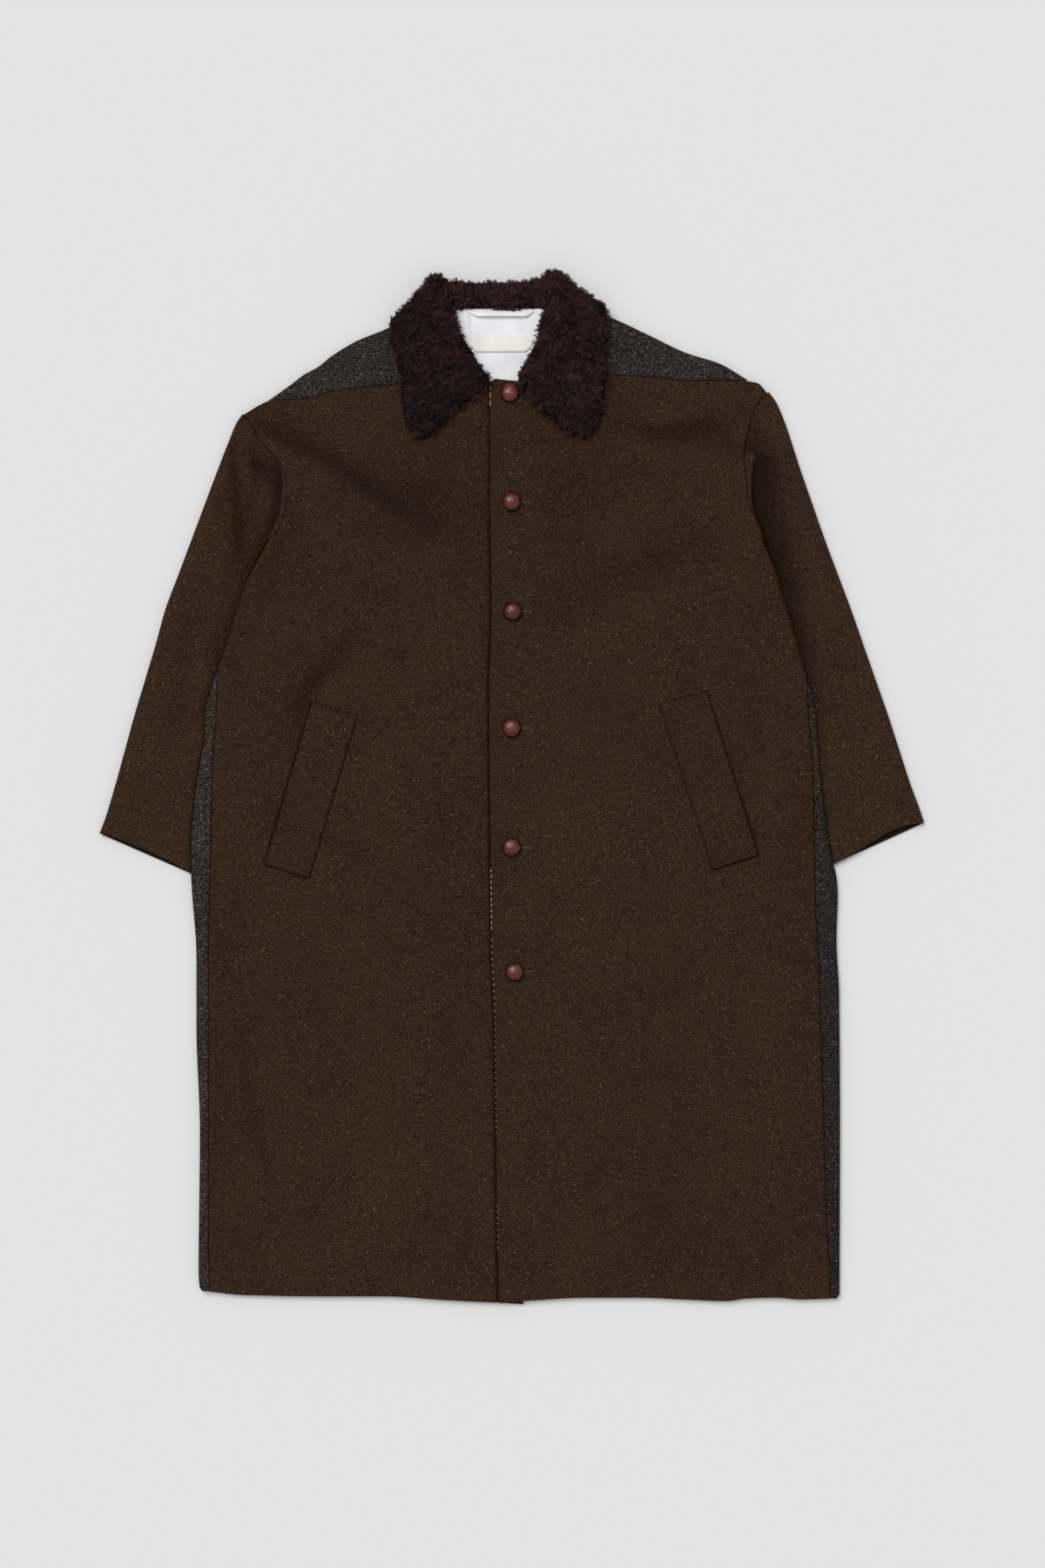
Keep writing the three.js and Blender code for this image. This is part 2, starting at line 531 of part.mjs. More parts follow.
// A yoke: a lip under the shoulder, the shoulder fold, and the part that lies on the front.
function yoke(shoulder, seam, { from, to }) {
  const seamLine = straight([...seam].sort((a, b) => a.x - b.x), 'x', 'y');
  const radius = (STACK - CLOTH) / 2;
  const bends = steps([{ at: 0 }, { at: Math.PI, count: 5 }]);
  const drops = steps([{ at: 0 }, { at: 1, count: 3 }]).slice(1);
  const shared = seam.map(({ x }) => x).filter((x) => x > from + 1 && x < to - 1);
  const along = [from, ...shared.sort((a, b) => a - b), to];
  const layer = (side) => along.map((x) => {
    const offset = (side - 0.5) * CLOTH;
    const fold = shoulder(x) - radius - CLOTH / 2;
    const length = Math.max(SHORTEST_FLAT, fold - seamLine(x) - SEAM);
    const under = new THREE.Vector3(x, backTop(x) + SEAM, CLOTH / 2 + offset);
    const round = bends.map((angle) => new THREE.Vector3(
      x,
      fold + (radius - offset) * Math.sin(angle),
      CLOTH / 2 + radius - (radius - offset) * Math.cos(angle),
    ));
    const over = drops.map((t) => new THREE.Vector3(x, fold - length * t, STACK - CLOTH / 2 - offset));
    return [under, ...round, ...over];
  });
  return wall(layer(0), layer(1));
}

// ---- sleeves ------------------------------------------------------------

// A sleeve: one cloth folded along its outer edge. It is open to the body down to the
// underarm, and below it the two edges meet in the underarm seam.
function sleeve({ table, folds, outward, side, turn, heights }) {
  const [cuff, shoulder] = [table[0].y, table.at(-1).y];
  const [foldX, foldY, closedAt] = ['foldX', 'foldY', 'closed'].map((key) => through(table, 'y', key));
  const radius = (SLEEVE_HEIGHT - CLOTH) / 2;
  const middle = SLEEVE_HEIGHT / 2;
  const armhole = straight(heights.map((y) => ({ y, x: side(y) })), 'y', 'x');
  const rows = [cuff, ...heights.filter((y) => y > cuff + 4 && y < shoulder - 4), shoulder];
  const under = steps([{ at: 0 }, { at: 1, count: 4 }]);
  const over = steps([{ at: 0 }, { at: 0.3, count: 3 }, { at: 1, count: 4 }]);
  const bends = steps([{ at: 0 }, { at: 1, count: 4 }]).slice(1, -1);
  const layer = (layerSide) => rows.map((y) => {
    const shut = closedAt(y);
    const offset = (layerSide - 0.5) * CLOTH;
    const inner = (y < STRIP_END ? turn(y) : armhole(y)) + outward * lerp(SEAM, 2 * SEAM, shut);
    const width = Math.hypot(inner - foldX(y), y - foldY(y));
    const point = (t, z) => new THREE.Vector3(lerp(inner, foldX(y), t), lerp(y, foldY(y), t), z);
    const foldAt = 1 - (radius + CLOTH / 2) / width;
    const startAt = Math.max(SLEEVE_SEAM_SET, shut * (radius + CLOTH / 2)) / width;
    // The open edge meets the body's height, and the closed one rounds down to the seam.
    const lift = (t) => (STACK - SLEEVE_HEIGHT) * (1 - shut) * (1 - smooth(0, SLEEVE_EASE / width, t));
    const puff = (t) => {
      const place = point(t, 0);
      const edges = smooth(0, SLEEVE_PLAIN_EDGE / width, 1 - t) * smooth(0.02, 0.1, t);
      return Math.max(-DEEPEST_TROUGH, rise(folds, place.x, place.y)) * edges;
    };
    const bottom = under.map((u) => point(lerp(startAt, foldAt, u), CLOTH / 2 + offset));
    const fold = bends.map((b) => {
      const angle = Math.PI * b;
      const t = foldAt + ((radius - offset) * Math.sin(angle)) / width;
      return point(t, middle - (radius - offset) * Math.cos(angle));
    });
    const top = over.map((u) => {
      const t = lerp(startAt, foldAt, u);
      return point(t, SLEEVE_HEIGHT - CLOTH / 2 - offset + lift(t) + puff(t));
    }).reverse();
    // The seam allowances below the underarm: both edges turn to the middle of the side.
    const edge = (up) => {
      const t = startAt - (shut * (radius - offset)) / width;
      const turned = middle + up * (SEAM / 2 + (1 - shut) * 0.8);
      const open = up > 0
        ? STACK - CLOTH / 2 - offset
        : CLOTH / 2 + offset;
      return point(lerp(0, t, shut), lerp(open, turned, shut));
    };
    return [edge(-1), ...bottom, ...fold, ...top, edge(1)];
  });
  return wall(layer(0), layer(1));
}

// ---- collar and neck ----------------------------------------------------

function collar() {
  const keys = ['neckX', 'neckY', 'edgeX', 'edgeY', 'low', 'neckTop', 'edgeTop'];
  const sectionAt = stations(COLLAR, keys);
  const places = steps([{ at: 0 }, { at: 1, count: COLLAR_SECTIONS }]);
  const rings = places.map((at) => {
    const s = sectionAt(at);
    return COLLAR_SECTION.map(({ across, share }) => new THREE.Vector3(
      lerp(s.neckX, s.edgeX, across),
      lerp(s.neckY, s.edgeY, across),
      lerp(s.low, lerp(s.neckTop, s.edgeTop, across), share),
    ));
  });
  return loft(rings);
}

// The lining of the back's neck, as far as it shows between the collar's leaves.
function neckLining() {
  const { low, top, widest, narrow, wide } = NECK_LINING;
  const rows = steps([{ at: low }, { at: top, count: 6 }]);
  const columns = steps([{ at: 0 }, { at: 1, count: 6 }]);
  const plan = rows.map((y) => columns.map((u) => {
    const drawn = 1 - smooth(low, widest, y);
    return { x: lerp(lerp(wide.left, narrow.left, drawn), lerp(wide.right, narrow.right, drawn), u), y };
  }));
  return panel(plan, () => LINING_FACE, LINING_CLOTH);
}

function hangerLoop() {
  const { left, right, top, width, ends } = HANGER_LOOP;
  const plan = [0, 1].map((edge) => steps([{ at: 0 }, { at: 1, count: 14 }]).map((t) => {
    const sag = HANGER_LOOP.sag * smooth(0, ends, t) * (1 - smooth(1 - ends, 1, t));
    return { x: lerp(left, right, t), y: top - sag - width * edge };
  }));
  return panel(plan, () => LINING_FACE + SEAM + TAPE, TAPE);
}

// The label, its field left bare.
function neckLabel() {
  const plan = NECK_LABEL.map(({ y, left, right }) => [0, 0.5, 1].map((u) => ({ x: lerp(left, right, u), y })));
  return panel(plan, () => LINING_FACE + SEAM + TAPE, TAPE);
}

// ---- pockets and buttons ------------------------------------------------

function welt(corners, face) {
  const [sewnTop, sewnLow, mouthLow, mouthTop] = corners;
  const along = steps([{ at: 0 }, { at: 1, count: 10 }]);
  const across = steps([{ at: 0 }, { at: 1, count: 4 }]);
  const plan = along.map((v) => across.map((u) => ({
    x: lerp(lerp(sewnTop.x, mouthTop.x, u), lerp(sewnLow.x, mouthLow.x, u), v),
    y: lerp(lerp(sewnTop.y, mouthTop.y, u), lerp(sewnLow.y, mouthLow.y, u), v),
  })));
  return panel(plan, (x, y) => face(x, y) + 3 * SEAM + WELT_CLOTH, WELT_CLOTH);
}

function button() {
  const radius = BUTTON_DIAMETER / 2;
  const profile = [
    new THREE.Vector2(0, 0), new THREE.Vector2(radius * BUTTON_FOOT, 0),
    new THREE.Vector2(radius, BUTTON_RIM),
  ];
  BUTTON_DOME.forEach((degrees) => {
    const angle = THREE.MathUtils.degToRad(degrees);
    const tall = BUTTON_RIM + (BUTTON_HEIGHT - BUTTON_RIM) * Math.sin(angle);
    profile.push(new THREE.Vector2(radius * Math.cos(angle), tall));
  });
  profile.push(new THREE.Vector2(0, BUTTON_HEIGHT));
  return new THREE.LatheGeometry(profile, BUTTON_SIDES).rotateX(Math.PI / 2);
}

// ---- assembly -----------------------------------------------------------

const coat = new THREE.Group();

function add(name, geometry, material) {
  const mesh = new THREE.Mesh(geometry, new THREE.MeshStandardMaterial(MATERIALS[material]));
  mesh.name = name;
  coat.add(mesh);
  return mesh;
}

add('back', back(), 'grey_wool');
add('yoke_right', yoke(shoulderRight, SEAM_RIGHT, YOKE_RIGHT), 'grey_wool');
add('yoke_left', yoke(shoulderLeft, SEAM_LEFT, YOKE_LEFT), 'grey_wool');
add('front_right', frontRight(), 'brown_wool');
add('front_left', frontLeft(), 'brown_wool');
add('sleeve_right', sleeve({
  table: SLEEVE_RIGHT, folds: FOLDS_RIGHT_SLEEVE, outward: -1, side: sideRight, turn: foldRight,
  heights: ROWS_RIGHT,
}), 'brown_wool');
add('sleeve_left', sleeve({
  table: SLEEVE_LEFT, folds: FOLDS_LEFT_SLEEVE, outward: 1, side: sideLeft, turn: foldLeft,
  heights: ROWS_LEFT,
}), 'brown_wool');
add('welt_right', welt(WELT_RIGHT, faceRight), 'brown_wool');
add('welt_left', welt(WELT_LEFT, faceLeft), 'brown_wool');
add('collar', collar(), 'pile');
add('neck_lining', neckLining(), 'lining');
add('hanger_loop', hangerLoop(), 'lining');
add('neck_label', neckLabel(), 'tape');
BUTTONS.forEach(({ x, y }, i) => {
  const mesh = add(`button_${i + 1}`, button(), 'leather');
  mesh.position.set(x, y, faceLeft(x, y) + SEAM);
});

export default coat;
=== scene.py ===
"""A wide wool overcoat laid flat on its back, buttoned, its sleeves beside the body.

Places are in millimetres in the coat's own frame, and MM turns them into metres. The hem points
to -Y and the collar to +Y, the wearer's right is at -X, and the coat lies on Z = 0.
"""

import math

import bpy
import numpy as np
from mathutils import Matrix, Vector


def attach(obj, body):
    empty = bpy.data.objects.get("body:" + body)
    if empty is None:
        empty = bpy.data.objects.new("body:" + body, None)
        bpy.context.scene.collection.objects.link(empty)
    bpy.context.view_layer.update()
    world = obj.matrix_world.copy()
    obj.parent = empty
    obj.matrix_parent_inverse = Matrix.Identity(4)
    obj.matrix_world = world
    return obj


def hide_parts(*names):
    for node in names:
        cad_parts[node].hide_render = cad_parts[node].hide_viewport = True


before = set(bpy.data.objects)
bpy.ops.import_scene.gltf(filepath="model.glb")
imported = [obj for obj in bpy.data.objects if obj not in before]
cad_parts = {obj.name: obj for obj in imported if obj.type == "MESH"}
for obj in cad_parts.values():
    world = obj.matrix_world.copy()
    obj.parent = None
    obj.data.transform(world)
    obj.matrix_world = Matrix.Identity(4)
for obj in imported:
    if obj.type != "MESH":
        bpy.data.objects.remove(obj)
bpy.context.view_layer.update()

MM = 0.001
CLOTH = 3.0  # milled wool with its lining
STACK = 9.6  # height of the laid body
SLEEVE_STACK = 8.6
FOLD_RADIUS = (STACK - CLOTH) / 2  # to the middle of the cloth in a side or shoulder fold
SLEEVE_RADIUS = (SLEEVE_STACK - CLOTH) / 2
EDGE_ROUND = 0.46 * CLOTH  # rounding of a turned edge
SEAM = 0.3
SEED = 41

# ---- tables -------------------------------------------------------------------------------
# Side edge of each front as (y, x): side seam, then the fold over the sleeve, then the armhole.
SIDE_RIGHT = [
    (-583, -356), (-480, -357), (-200, -357), (-116, -355.4), (-62, -354), (0, -353),
    (60, -349.4), (88, -347.6), (112, -347), (128, -347), (155, -339), (199, -324.5),
    (219, -318), (241, -310), (265, -297), (279, -289), (285, -281), (297, -273.5),
    (313, -268), (332, -266.5), (354, -268), (368, -273), (381, -285), (394, -298),
    (417, -311), (424, -317),
]
SIDE_LEFT = [
    (-591, 358), (-550, 356.6), (-480, 353), (-200, 344), (-134, 340.7), (-62, 339.4),
    (0, 338.5), (60, 334), (81, 332.5), (104, 331), (120, 330), (141, 326), (173, 317),
    (203, 308), (217, 303), (237, 298), (254, 292), (269, 285), (284, 280), (299, 274),
    (310, 268), (326, 263), (339, 262), (368, 258.7), (386, 259), (404, 263),
    (427, 269.5), (440, 278), (449, 285),
]
# Outer fold of the body below the sleeves as (y, x).
FOLD_RIGHT = [
    (-583, -367.5), (-560, -368.5), (-400, -367), (-280, -371), (-200, -371), (-125, -376),
    (-103, -377.2), (-62, -377), (-36, -375), (0, -371), (60, -361.5), (81, -361),
    (101, -356.4), (118, -352), (127, -348), (155, -339),
]
FOLD_LEFT = [
    (-591, 368.5), (-560, 368.5), (-400, 369), (-240, 368), (-180, 365), (-125, 366.5),
    (-107, 365), (-92, 361.7), (-76, 358), (-40, 353), (0, 348), (60, 343), (81, 341),
    (101, 337), (113, 334), (120, 331), (155, 322),
]
# Hems as (x, y).
HEM_RIGHT = [
    (-356, -583), (-316, -587), (-225, -588.5), (-155, -588.5), (-88, -592.5), (-21, -596.5),
    (6, -598),
]
HEM_LEFT = [
    (-23, -596.5), (17, -593), (76, -590), (135, -590), (187, -592), (237, -594), (261, -591),
    (296, -590), (322, -592), (358, -591),
]
# Closing edge of the over-lap as (y, x), and the under-lap's hidden edge.
LAP_OVER = [
    (-596.5, -23), (-480, -25), (-257, -28), (-193, -31), (-104, -32), (-27, -33), (100, -34),
    (200, -31.5), (340, -33), (455, -33), (462, -31.5), (465.5, -28),
]
LAP_UNDER = [(-598, 5), (459, 6)]
# Where each side edge and each closing edge starts and ends, as y.
SIDE_ENDS_RIGHT, LAP_ENDS_RIGHT = (-583, 424), (-598, 459)
SIDE_ENDS_LEFT, LAP_ENDS_LEFT = (-591, 449), (-596.5, 465.5)
# Edges of the back as (x, y): over the shoulders and the neck, and its hem.
BACK_TOP = [
    (-330, 424), (-305, 426), (-276, 443), (-190, 488), (-110, 528), (-96, 543.7), (50, 543.7),
    (62, 537), (150, 505), (240, 471), (273, 449), (300, 449),
]
BACK_HEM = [(-370, -583), (-340, -584), (0, -588), (340, -589.5), (370, -591)]
# Seams between the yokes and the fronts as (x, y).
YOKE_SEAM_RIGHT = [
    (-317, 424), (-291, 438.5), (-285, 440.3), (-244, 442.5), (-214, 451), (-166, 457),
    (-141, 459), (-51, 461), (6, 459),
]
YOKE_SEAM_LEFT = [
    (-28, 465.5), (1, 463), (60, 468), (104, 470), (155, 467), (193, 463.5), (219, 463.5),
    (257, 463), (274, 460.5), (285, 449),
]
# Shoulder folds as (x, y).
SHOULDER_RIGHT = [
    (-289, 440), (-261, 460), (-248, 470), (-230, 480), (-218, 490), (-203, 500), (-185, 510),
    (-160, 520), (-98, 548),
]
SHOULDER_LEFT = [
    (50, 556), (106, 536), (149, 516), (191, 496), (231, 483), (257, 468), (264, 463.5),
]
# Lower edge of the hidden lip of each yoke as (x, y).
LIP_RIGHT = [(-300, 436), (-276, 444), (-104, 531)]
LIP_LEFT = [(58, 538), (240, 471.6), (270, 452)]
# Sleeves as (place from shoulder to cuff, fold x, fold y, height on the body's edge).
SLEEVE_RIGHT = [
    (0.00, -318, 425, 424), (0.05, -325, 415, 412), (0.10, -333, 396, 391),
    (0.17, -347, 360, 360), (0.25, -362, 320, 325), (0.33, -377, 280, 282),
    (0.41, -392, 240, 240), (0.49, -407, 200, 200), (0.57, -418, 160, 159),
    (0.65, -430, 120, 119), (0.73, -442, 80, 80), (0.81, -453, 40, 38),
    (0.89, -464, 0, -2), (0.96, -476, -40, -62), (1.00, -482.6, -57, -103),
]
SLEEVE_LEFT = [
    (0.00, 287.5, 450, 449), (0.05, 295, 440, 437), (0.10, 304, 420, 419),
    (0.18, 324, 360, 361), (0.26, 338, 320, 321), (0.34, 352, 280, 281),
    (0.42, 367, 240, 240), (0.50, 382, 200, 200), (0.58, 396, 160, 160),
    (0.66, 410, 120, 119), (0.74, 424, 80, 79), (0.82, 437, 40, 39),
    (0.90, 450, 0, -1), (0.96, 460, -27, -44), (1.00, 466, -44.5, -92),
]
# Width of the strip of sleeve that stays on the body beside each armhole seam, as (y, width).
ARMHOLE_TURN_RIGHT = [
    (272, 0.4), (279, 1.5), (284, 4.5), (297, 6.5), (313, 6.8), (332, 5.2), (354, 4), (366, 1),
]
ARMHOLE_TURN_LEFT = [
    (284, 0.3), (296, 0.6), (305, 1), (313, 2), (322, 3.5), (332, 4.5), (345, 5.5), (355, 8),
    (367, 10), (376, 14),
]
# Soft folds as (points along it, rise, half-width). A negative rise is a trough.
FOLDS_RIGHT_FRONT = [
    (((-308, 412), (-240, 380), (-171, 348), (-80, 300)), -5.6, 20),
    (((-300, 440), (-215, 408), (-120, 372)), 3.4, 26),
    (((-262, 350), (-190, 318), (-110, 322)), 4.0, 26),
    (((-170, 292), (-110, 280), (-60, 288)), -3.6, 18),
    (((-272, 366), (-271, 330), (-280, 297), (-300, 255), (-326, 196), (-346, 128)), 8.6, 19),
    (((-266, 40), (-236, 90), (-206, 140)), -3.4, 20),
    (((-300, 90), (-262, 160), (-220, 220)), 3.0, 28),
    (((-311, -340), (-304, -420), (-296, -500)), -3.0, 20),
    (((-262, -230), (-250, -380), (-248, -550)), 3.0, 34),
    (((-130, -120), (-110, -300), (-120, -480)), 2.4, 46),
    (((-190, -60), (-170, -200), (-178, -330)), -2.2, 30),
]
FOLDS_LEFT_FRONT = [
    (((131, 403), (190, 424), (241, 438)), 6.0, 15),
    (((150, 386), (200, 396), (254, 410)), -4.6, 14),
    (((24, 205), (110, 226), (199, 268)), -4.2, 22),
    (((60, 270), (150, 290), (235, 330)), 3.6, 32),
    (((266, 372), (267, 330), (279, 288), (298, 240), (318, 180), (332, 110)), 9.0, 20),
    (((276, 60), (298, -10), (314, -90)), 4.6, 18),
    (((250, 180), (262, 110), (268, 40)), -2.6, 20),
    (((120, -150), (108, -330), (124, -540)), 2.8, 42),
    (((250, -220), (270, -380), (262, -550)), 2.8, 34),
    (((186, -180), (196, -330), (190, -520)), -2.2, 28),
]
FOLDS_RIGHT_SLEEVE = [
    (((-330, 396), (-327, 350), (-321, 300)), -2.3, 9),
    (((-300, 372), (-298, 350)), -2.0, 9),
    (((-313, 392), (-309, 350), (-316, 306)), 4.6, 8),
    (((-346, 400), (-362, 310), (-386, 190), (-402, 120)), 5.6, 19),
    (((-372, 200), (-372, 130), (-394, 40)), -2.0, 15),
    (((-412, 100), (-432, 20), (-440, -30)), 3.0, 22),
]
FOLDS_LEFT_SLEEVE = [
    (((296, 400), (322, 310), (354, 210), (378, 150)), 8.6, 16),
    (((346, 190), (368, 100), (380, 40)), -1.8, 14),
    (((392, 110), (414, 20), (424, -30)), 3.2, 24),
]
# Painted shade: bands where the cloth is coloured darker, in hollows and on slopes, as (points, amount,
# half-width).
# A negative amount is painted light, where the cloth is coloured paler.
FRONT_PAINTED_SHADE = 0.085  # painted shade, even all over the fronts
PAINTED_SHADE_RIGHT_FRONT = [
    (
        ((-326, 430), (-310, 419), (-279, 402), (-229, 379), (-195, 357), (-156, 330), (-100, 296)),
        0.40, 11,
    ),
    (((-200, 336), (-150, 322), (-96, 318)), 0.16, 24),
    (((-186, 176), (-217, 140), (-240, 114), (-254, 84), (-262, 40)), 0.36, 11),
    (((-300, 230), (-250, 236), (-180, 225)), 0.08, 30),
    (((-84, 60), (-70, -120), (-84, -300)), 0.06, 26),
    (((-90, 420), (-80, 340), (-70, 240)), 0.14, 58),
    (((-186, 290), (-140, 284), (-96, 290)), 0.12, 9),
    (((-184, 353), (-136, 342), (-98, 340)), 0.18, 9),
    (((-286, 10), (-292, -60)), 0.08, 16),
    (((-322, -290), (-303, -388), (-277, -486)), 0.16, 8),
    (((-176, 60), (-170, 0)), -0.09, 24),
    (((-236, -96), (-224, -150)), -0.10, 24),
    (((-156, -370), (-150, -500)), -0.10, 46),
]
PAINTED_SHADE_LEFT_FRONT = [
    (((100, 420), (124, 413), (167, 401), (220, 407), (262, 376)), 0.30, 11),
    (((8, 188), (60, 204), (106, 226), (160, 258), (210, 284)), 0.17, 20),
    (((40, 150), (106, 176), (181, 214)), -0.05, 20),
    (((36, 430), (44, 340), (60, 250)), 0.12, 54),
    (((50, 0), (62, -160)), -0.09, 24),
    (((283, 30), (285, -20)), -0.10, 12),
    (((309, -50), (316, -92)), 0.12, 10),
    (((285, -210), (290, -400)), -0.08, 26),
    (((150, -400), (190, -520)), 0.06, 60),
    (((50, 330), (110, 345), (180, 352)), 0.08, 26),
    (((262, 120), (256, 20), (250, -60)), 0.08, 20),
]
PAINTED_SHADE_RIGHT_SLEEVE = [
    (((-330, 408), (-327, 350), (-322, 262)), 0.44, 7),
    (((-304, 380), (-300, 368), (-290, 352)), 0.62, 12),
    (((-308, 330), (-318, 290), (-332, 236)), 0.30, 18),
    (((-340, 220), (-352, 150), (-358, 80)), 0.14, 12),
    (((-380, 220), (-392, 120), (-398, 30)), 0.08, 14),
]
PAINTED_SHADE_LEFT_SLEEVE = [
    (((282, 392), (290, 340), (304, 280)), 0.14, 20),
    (((352, 180), (372, 90), (384, 20)), 0.10, 13),
]
# The sleeve's shade beside the body's edge as (y, amount, reach).
EDGE_SHADE_RIGHT = [
    (-110, 0.12, 5), (60, 0.26, 6), (135, 0.30, 7), (185, 0.34, 8), (230, 0.38, 9), (275, 0.46, 12),
    (310, 0.66, 13), (350, 0.60, 13), (368, 0.40, 12), (386, 0.0, 8),
]
EDGE_SHADE_LEFT = [
    (-100, 0.12, 6), (60, 0.34, 9), (120, 0.48, 14), (180, 0.58, 19), (240, 0.63, 26), (300, 0.65, 32),
    (350, 0.64, 34), (385, 0.56, 30), (408, 0.34, 22), (424, 0.12, 14), (438, 0.0, 12),
]
# Middles of the buttons from the neck down, how far each is turned in degrees, and the buttonholes'
# ends past a button's middle. The first button hides its buttonhole.
BUTTONS = [(-10.4, 448.6), (-8.2, 324), (-7.4, 198), (-8.7, 64.3), (-8.6, -72.7), (-5, -215.5)]
BUTTON_TURNS = (34, 12, 58, 40, 21, 5)
BUTTONHOLES = ((4, 21), (4, 21.5), (4, 21.5), (4, 22), (4, 19))
# Welt corners: sewn edge top and low, mouth low and top.
WELT_RIGHT = [(-185.5, 78), (-241.5, -108.5), (-291, -92), (-238, 94)]
WELT_LEFT = [(161.6, 91), (223.4, -98.6), (274.4, -81.6), (215.6, 105)]

# ---- curves and grids ---------------------------------------------------------------------


def smooth(low, high, value):
    t = np.clip((np.asarray(value, float) - low) / (high - low), 0, 1)
    return t * t * (3 - 2 * t)


def mark(away, width):
    """How strongly a line marks the cloth at a distance from it: 1 on the line itself."""
    return np.exp(-((away / width) ** 2))


def curve(rows, column=1):
    """A smooth reading of a table by its first column, with no overshoot."""
    table = np.array(rows, float)
    at, value = table[:, 0], table[:, column]
    slope = np.diff(value) / np.diff(at)
    before, after = np.r_[slope[0], slope], np.r_[slope, slope[-1]]
    same = before * after > 0
    tangent = np.where(same, 2 * before * after / np.where(same, before + after, 1), 0)

    def read(where):
        where = np.asarray(where, float)
        i = np.clip(np.searchsorted(at, where) - 1, 0, len(slope) - 1)
        span = at[i + 1] - at[i]
        t = np.clip((where - at[i]) / span, 0, 1)
        start = value[i] * (1 + 2 * t) + tangent[i] * span * t
        end = value[i + 1] * (3 - 2 * t) - tangent[i + 1] * span * (1 - t)
        return (1 - t) ** 2 * start + t**2 * end

    return read


def fold_rise(folds, x, y):
    """Height that the soft folds add at a place: each fades towards its ends."""
    total = np.zeros(np.broadcast(x, y).shape)
    for points, rise, width in folds:
        lengths = [math.dist(a, b) for a, b in zip(points, points[1:])]
        nearest, share, done = np.full(total.shape, 1e9), np.zeros(total.shape), 0.0
        for (x1, y1), (x2, y2), length in zip(points, points[1:], lengths):
            t = np.clip(((x - x1) * (x2 - x1) + (y - y1) * (y2 - y1)) / length**2, 0, 1)
            away = (x - x1 - (x2 - x1) * t) ** 2 + (y - y1 - (y2 - y1) * t) ** 2
            closer = away < nearest
            nearest = np.where(closer, away, nearest)
            share = np.where(closer, (done + length * t) / sum(lengths), share)
            done += length
        fade = 1 - 0.55 * (2 * share - 1) ** 2
        total = total + rise * fade * np.exp(-nearest / width**2)
    return total


def spread(length, step, first=(), last=()):
    """Places along a length: the fine ones given from each end, and even steps between."""
    start = first[-1] if first else 0.0
    stop = length - (last[-1] if last else 0.0)
    middle = np.linspace(start, stop, max(2, int(round((stop - start) / step)) + 1))
    ends = [length - d for d in reversed(last[:-1])]
    return np.array([*first[:-1], *middle, *ends]) / length


# Distances from an edge that get a grid line: for its rounding, and on to the stitched rows.
ROUNDED = (0.0, 0.25, 0.6, 1.05, 1.6, 2.4, 4.0)
STITCHED = ROUNDED + (6.0, 8.5, 9.5, 10.2, 10.9, 12.0, 14.5, 16.5, 17.5, 18.2, 18.9, 20.0, 22.5)
SIDE_ROWS = (10.2, 18.2)  # the two rows of stitching, from the side seam


def rounding(distance, radius):
    """How far a rounded edge falls at a distance from it."""
    d = np.clip(distance, 0, radius)
    return radius - np.sqrt(np.maximum(radius**2 - (radius - d) ** 2, 0))


def patch(u, v, start, end, bottom, top):
    """A plan grid between four edges, each a function from 0 to 1 giving x and y."""
    u, v = np.meshgrid(u, v)
    sides = [np.array(f(v)) for f in (start, end)]
    ends = [np.array(f(u)) for f in (bottom, top)]
    c00, c10 = np.array(start(0.0)), np.array(end(0.0))
    c01, c11 = np.array(start(1.0)), np.array(end(1.0))
    corner = [c.reshape(2, 1, 1) for c in (c00, c10, c01, c11)]
    low = corner[0] * (1 - u) + corner[1] * u
    high = corner[2] * (1 - u) + corner[3] * u
    between_sides = sides[0] * (1 - u) + sides[1] * u
    between_ends = ends[0] * (1 - v) + ends[1] * v
    return between_sides + between_ends - low * (1 - v) - high * v


def between(ends, t):
    return ends[0] + (ends[1] - ends[0]) * t


def upright(line, ends):
    """An edge that runs up from one y to another, with its x read from a line."""
    return lambda t: (line(between(ends, t)), between(ends, t))


def sideways(line, ends):
    """An edge that runs across from one x to another, with its y read from a line."""
    return lambda t: (between(ends, t), line(between(ends, t)))


# ---- meshes -------------------------------------------------------------------------------


def new_piece(name, points, faces, material, smooth_shading=True):
    mesh = bpy.data.meshes.new(name)
    mesh.from_pydata((np.asarray(points) * MM).tolist(), [], [list(map(int, f)) for f in faces])
    mesh.update()
    if smooth_shading:
        mesh.polygons.foreach_set("use_smooth", np.ones(len(mesh.polygons), bool))
    piece = bpy.data.objects.new(name, mesh)
    bpy.context.scene.collection.objects.link(piece)
    mesh.materials.append(material)
    return piece


def quads(rows, columns, offset=0):
    r, c = np.meshgrid(np.arange(rows - 1), np.arange(columns - 1), indexing="ij")
    a = (offset + r * columns + c).ravel()
    return np.stack([a, a + 1, a + columns + 1, a + columns], axis=1)


def wall_faces(rows, columns):
    """Faces of a closed wall: a face grid, a lining grid after it, and the rim between them."""
    count = rows * columns
    face = quads(rows, columns)
    lining = quads(rows, columns, count)[:, ::-1]
    ring = [r * columns for r in range(rows)]
    ring += [(rows - 1) * columns + c for c in range(1, columns)]
    ring += [r * columns + columns - 1 for r in range(rows - 2, -1, -1)]
    ring += list(range(columns - 2, 0, -1))
    ring = np.array(ring)
    after = np.roll(ring, -1)
    rim = np.stack([ring, after, after + count, ring + count], axis=1)
    return np.concatenate([face, lining, rim])


def signed_volume(points, faces):
    a, b, c, d = (points[faces[:, k]] for k in range(4))
    halves = np.cross(b, c) + np.cross(c, d)
    return np.einsum("ij,ij->i", a, halves).sum()


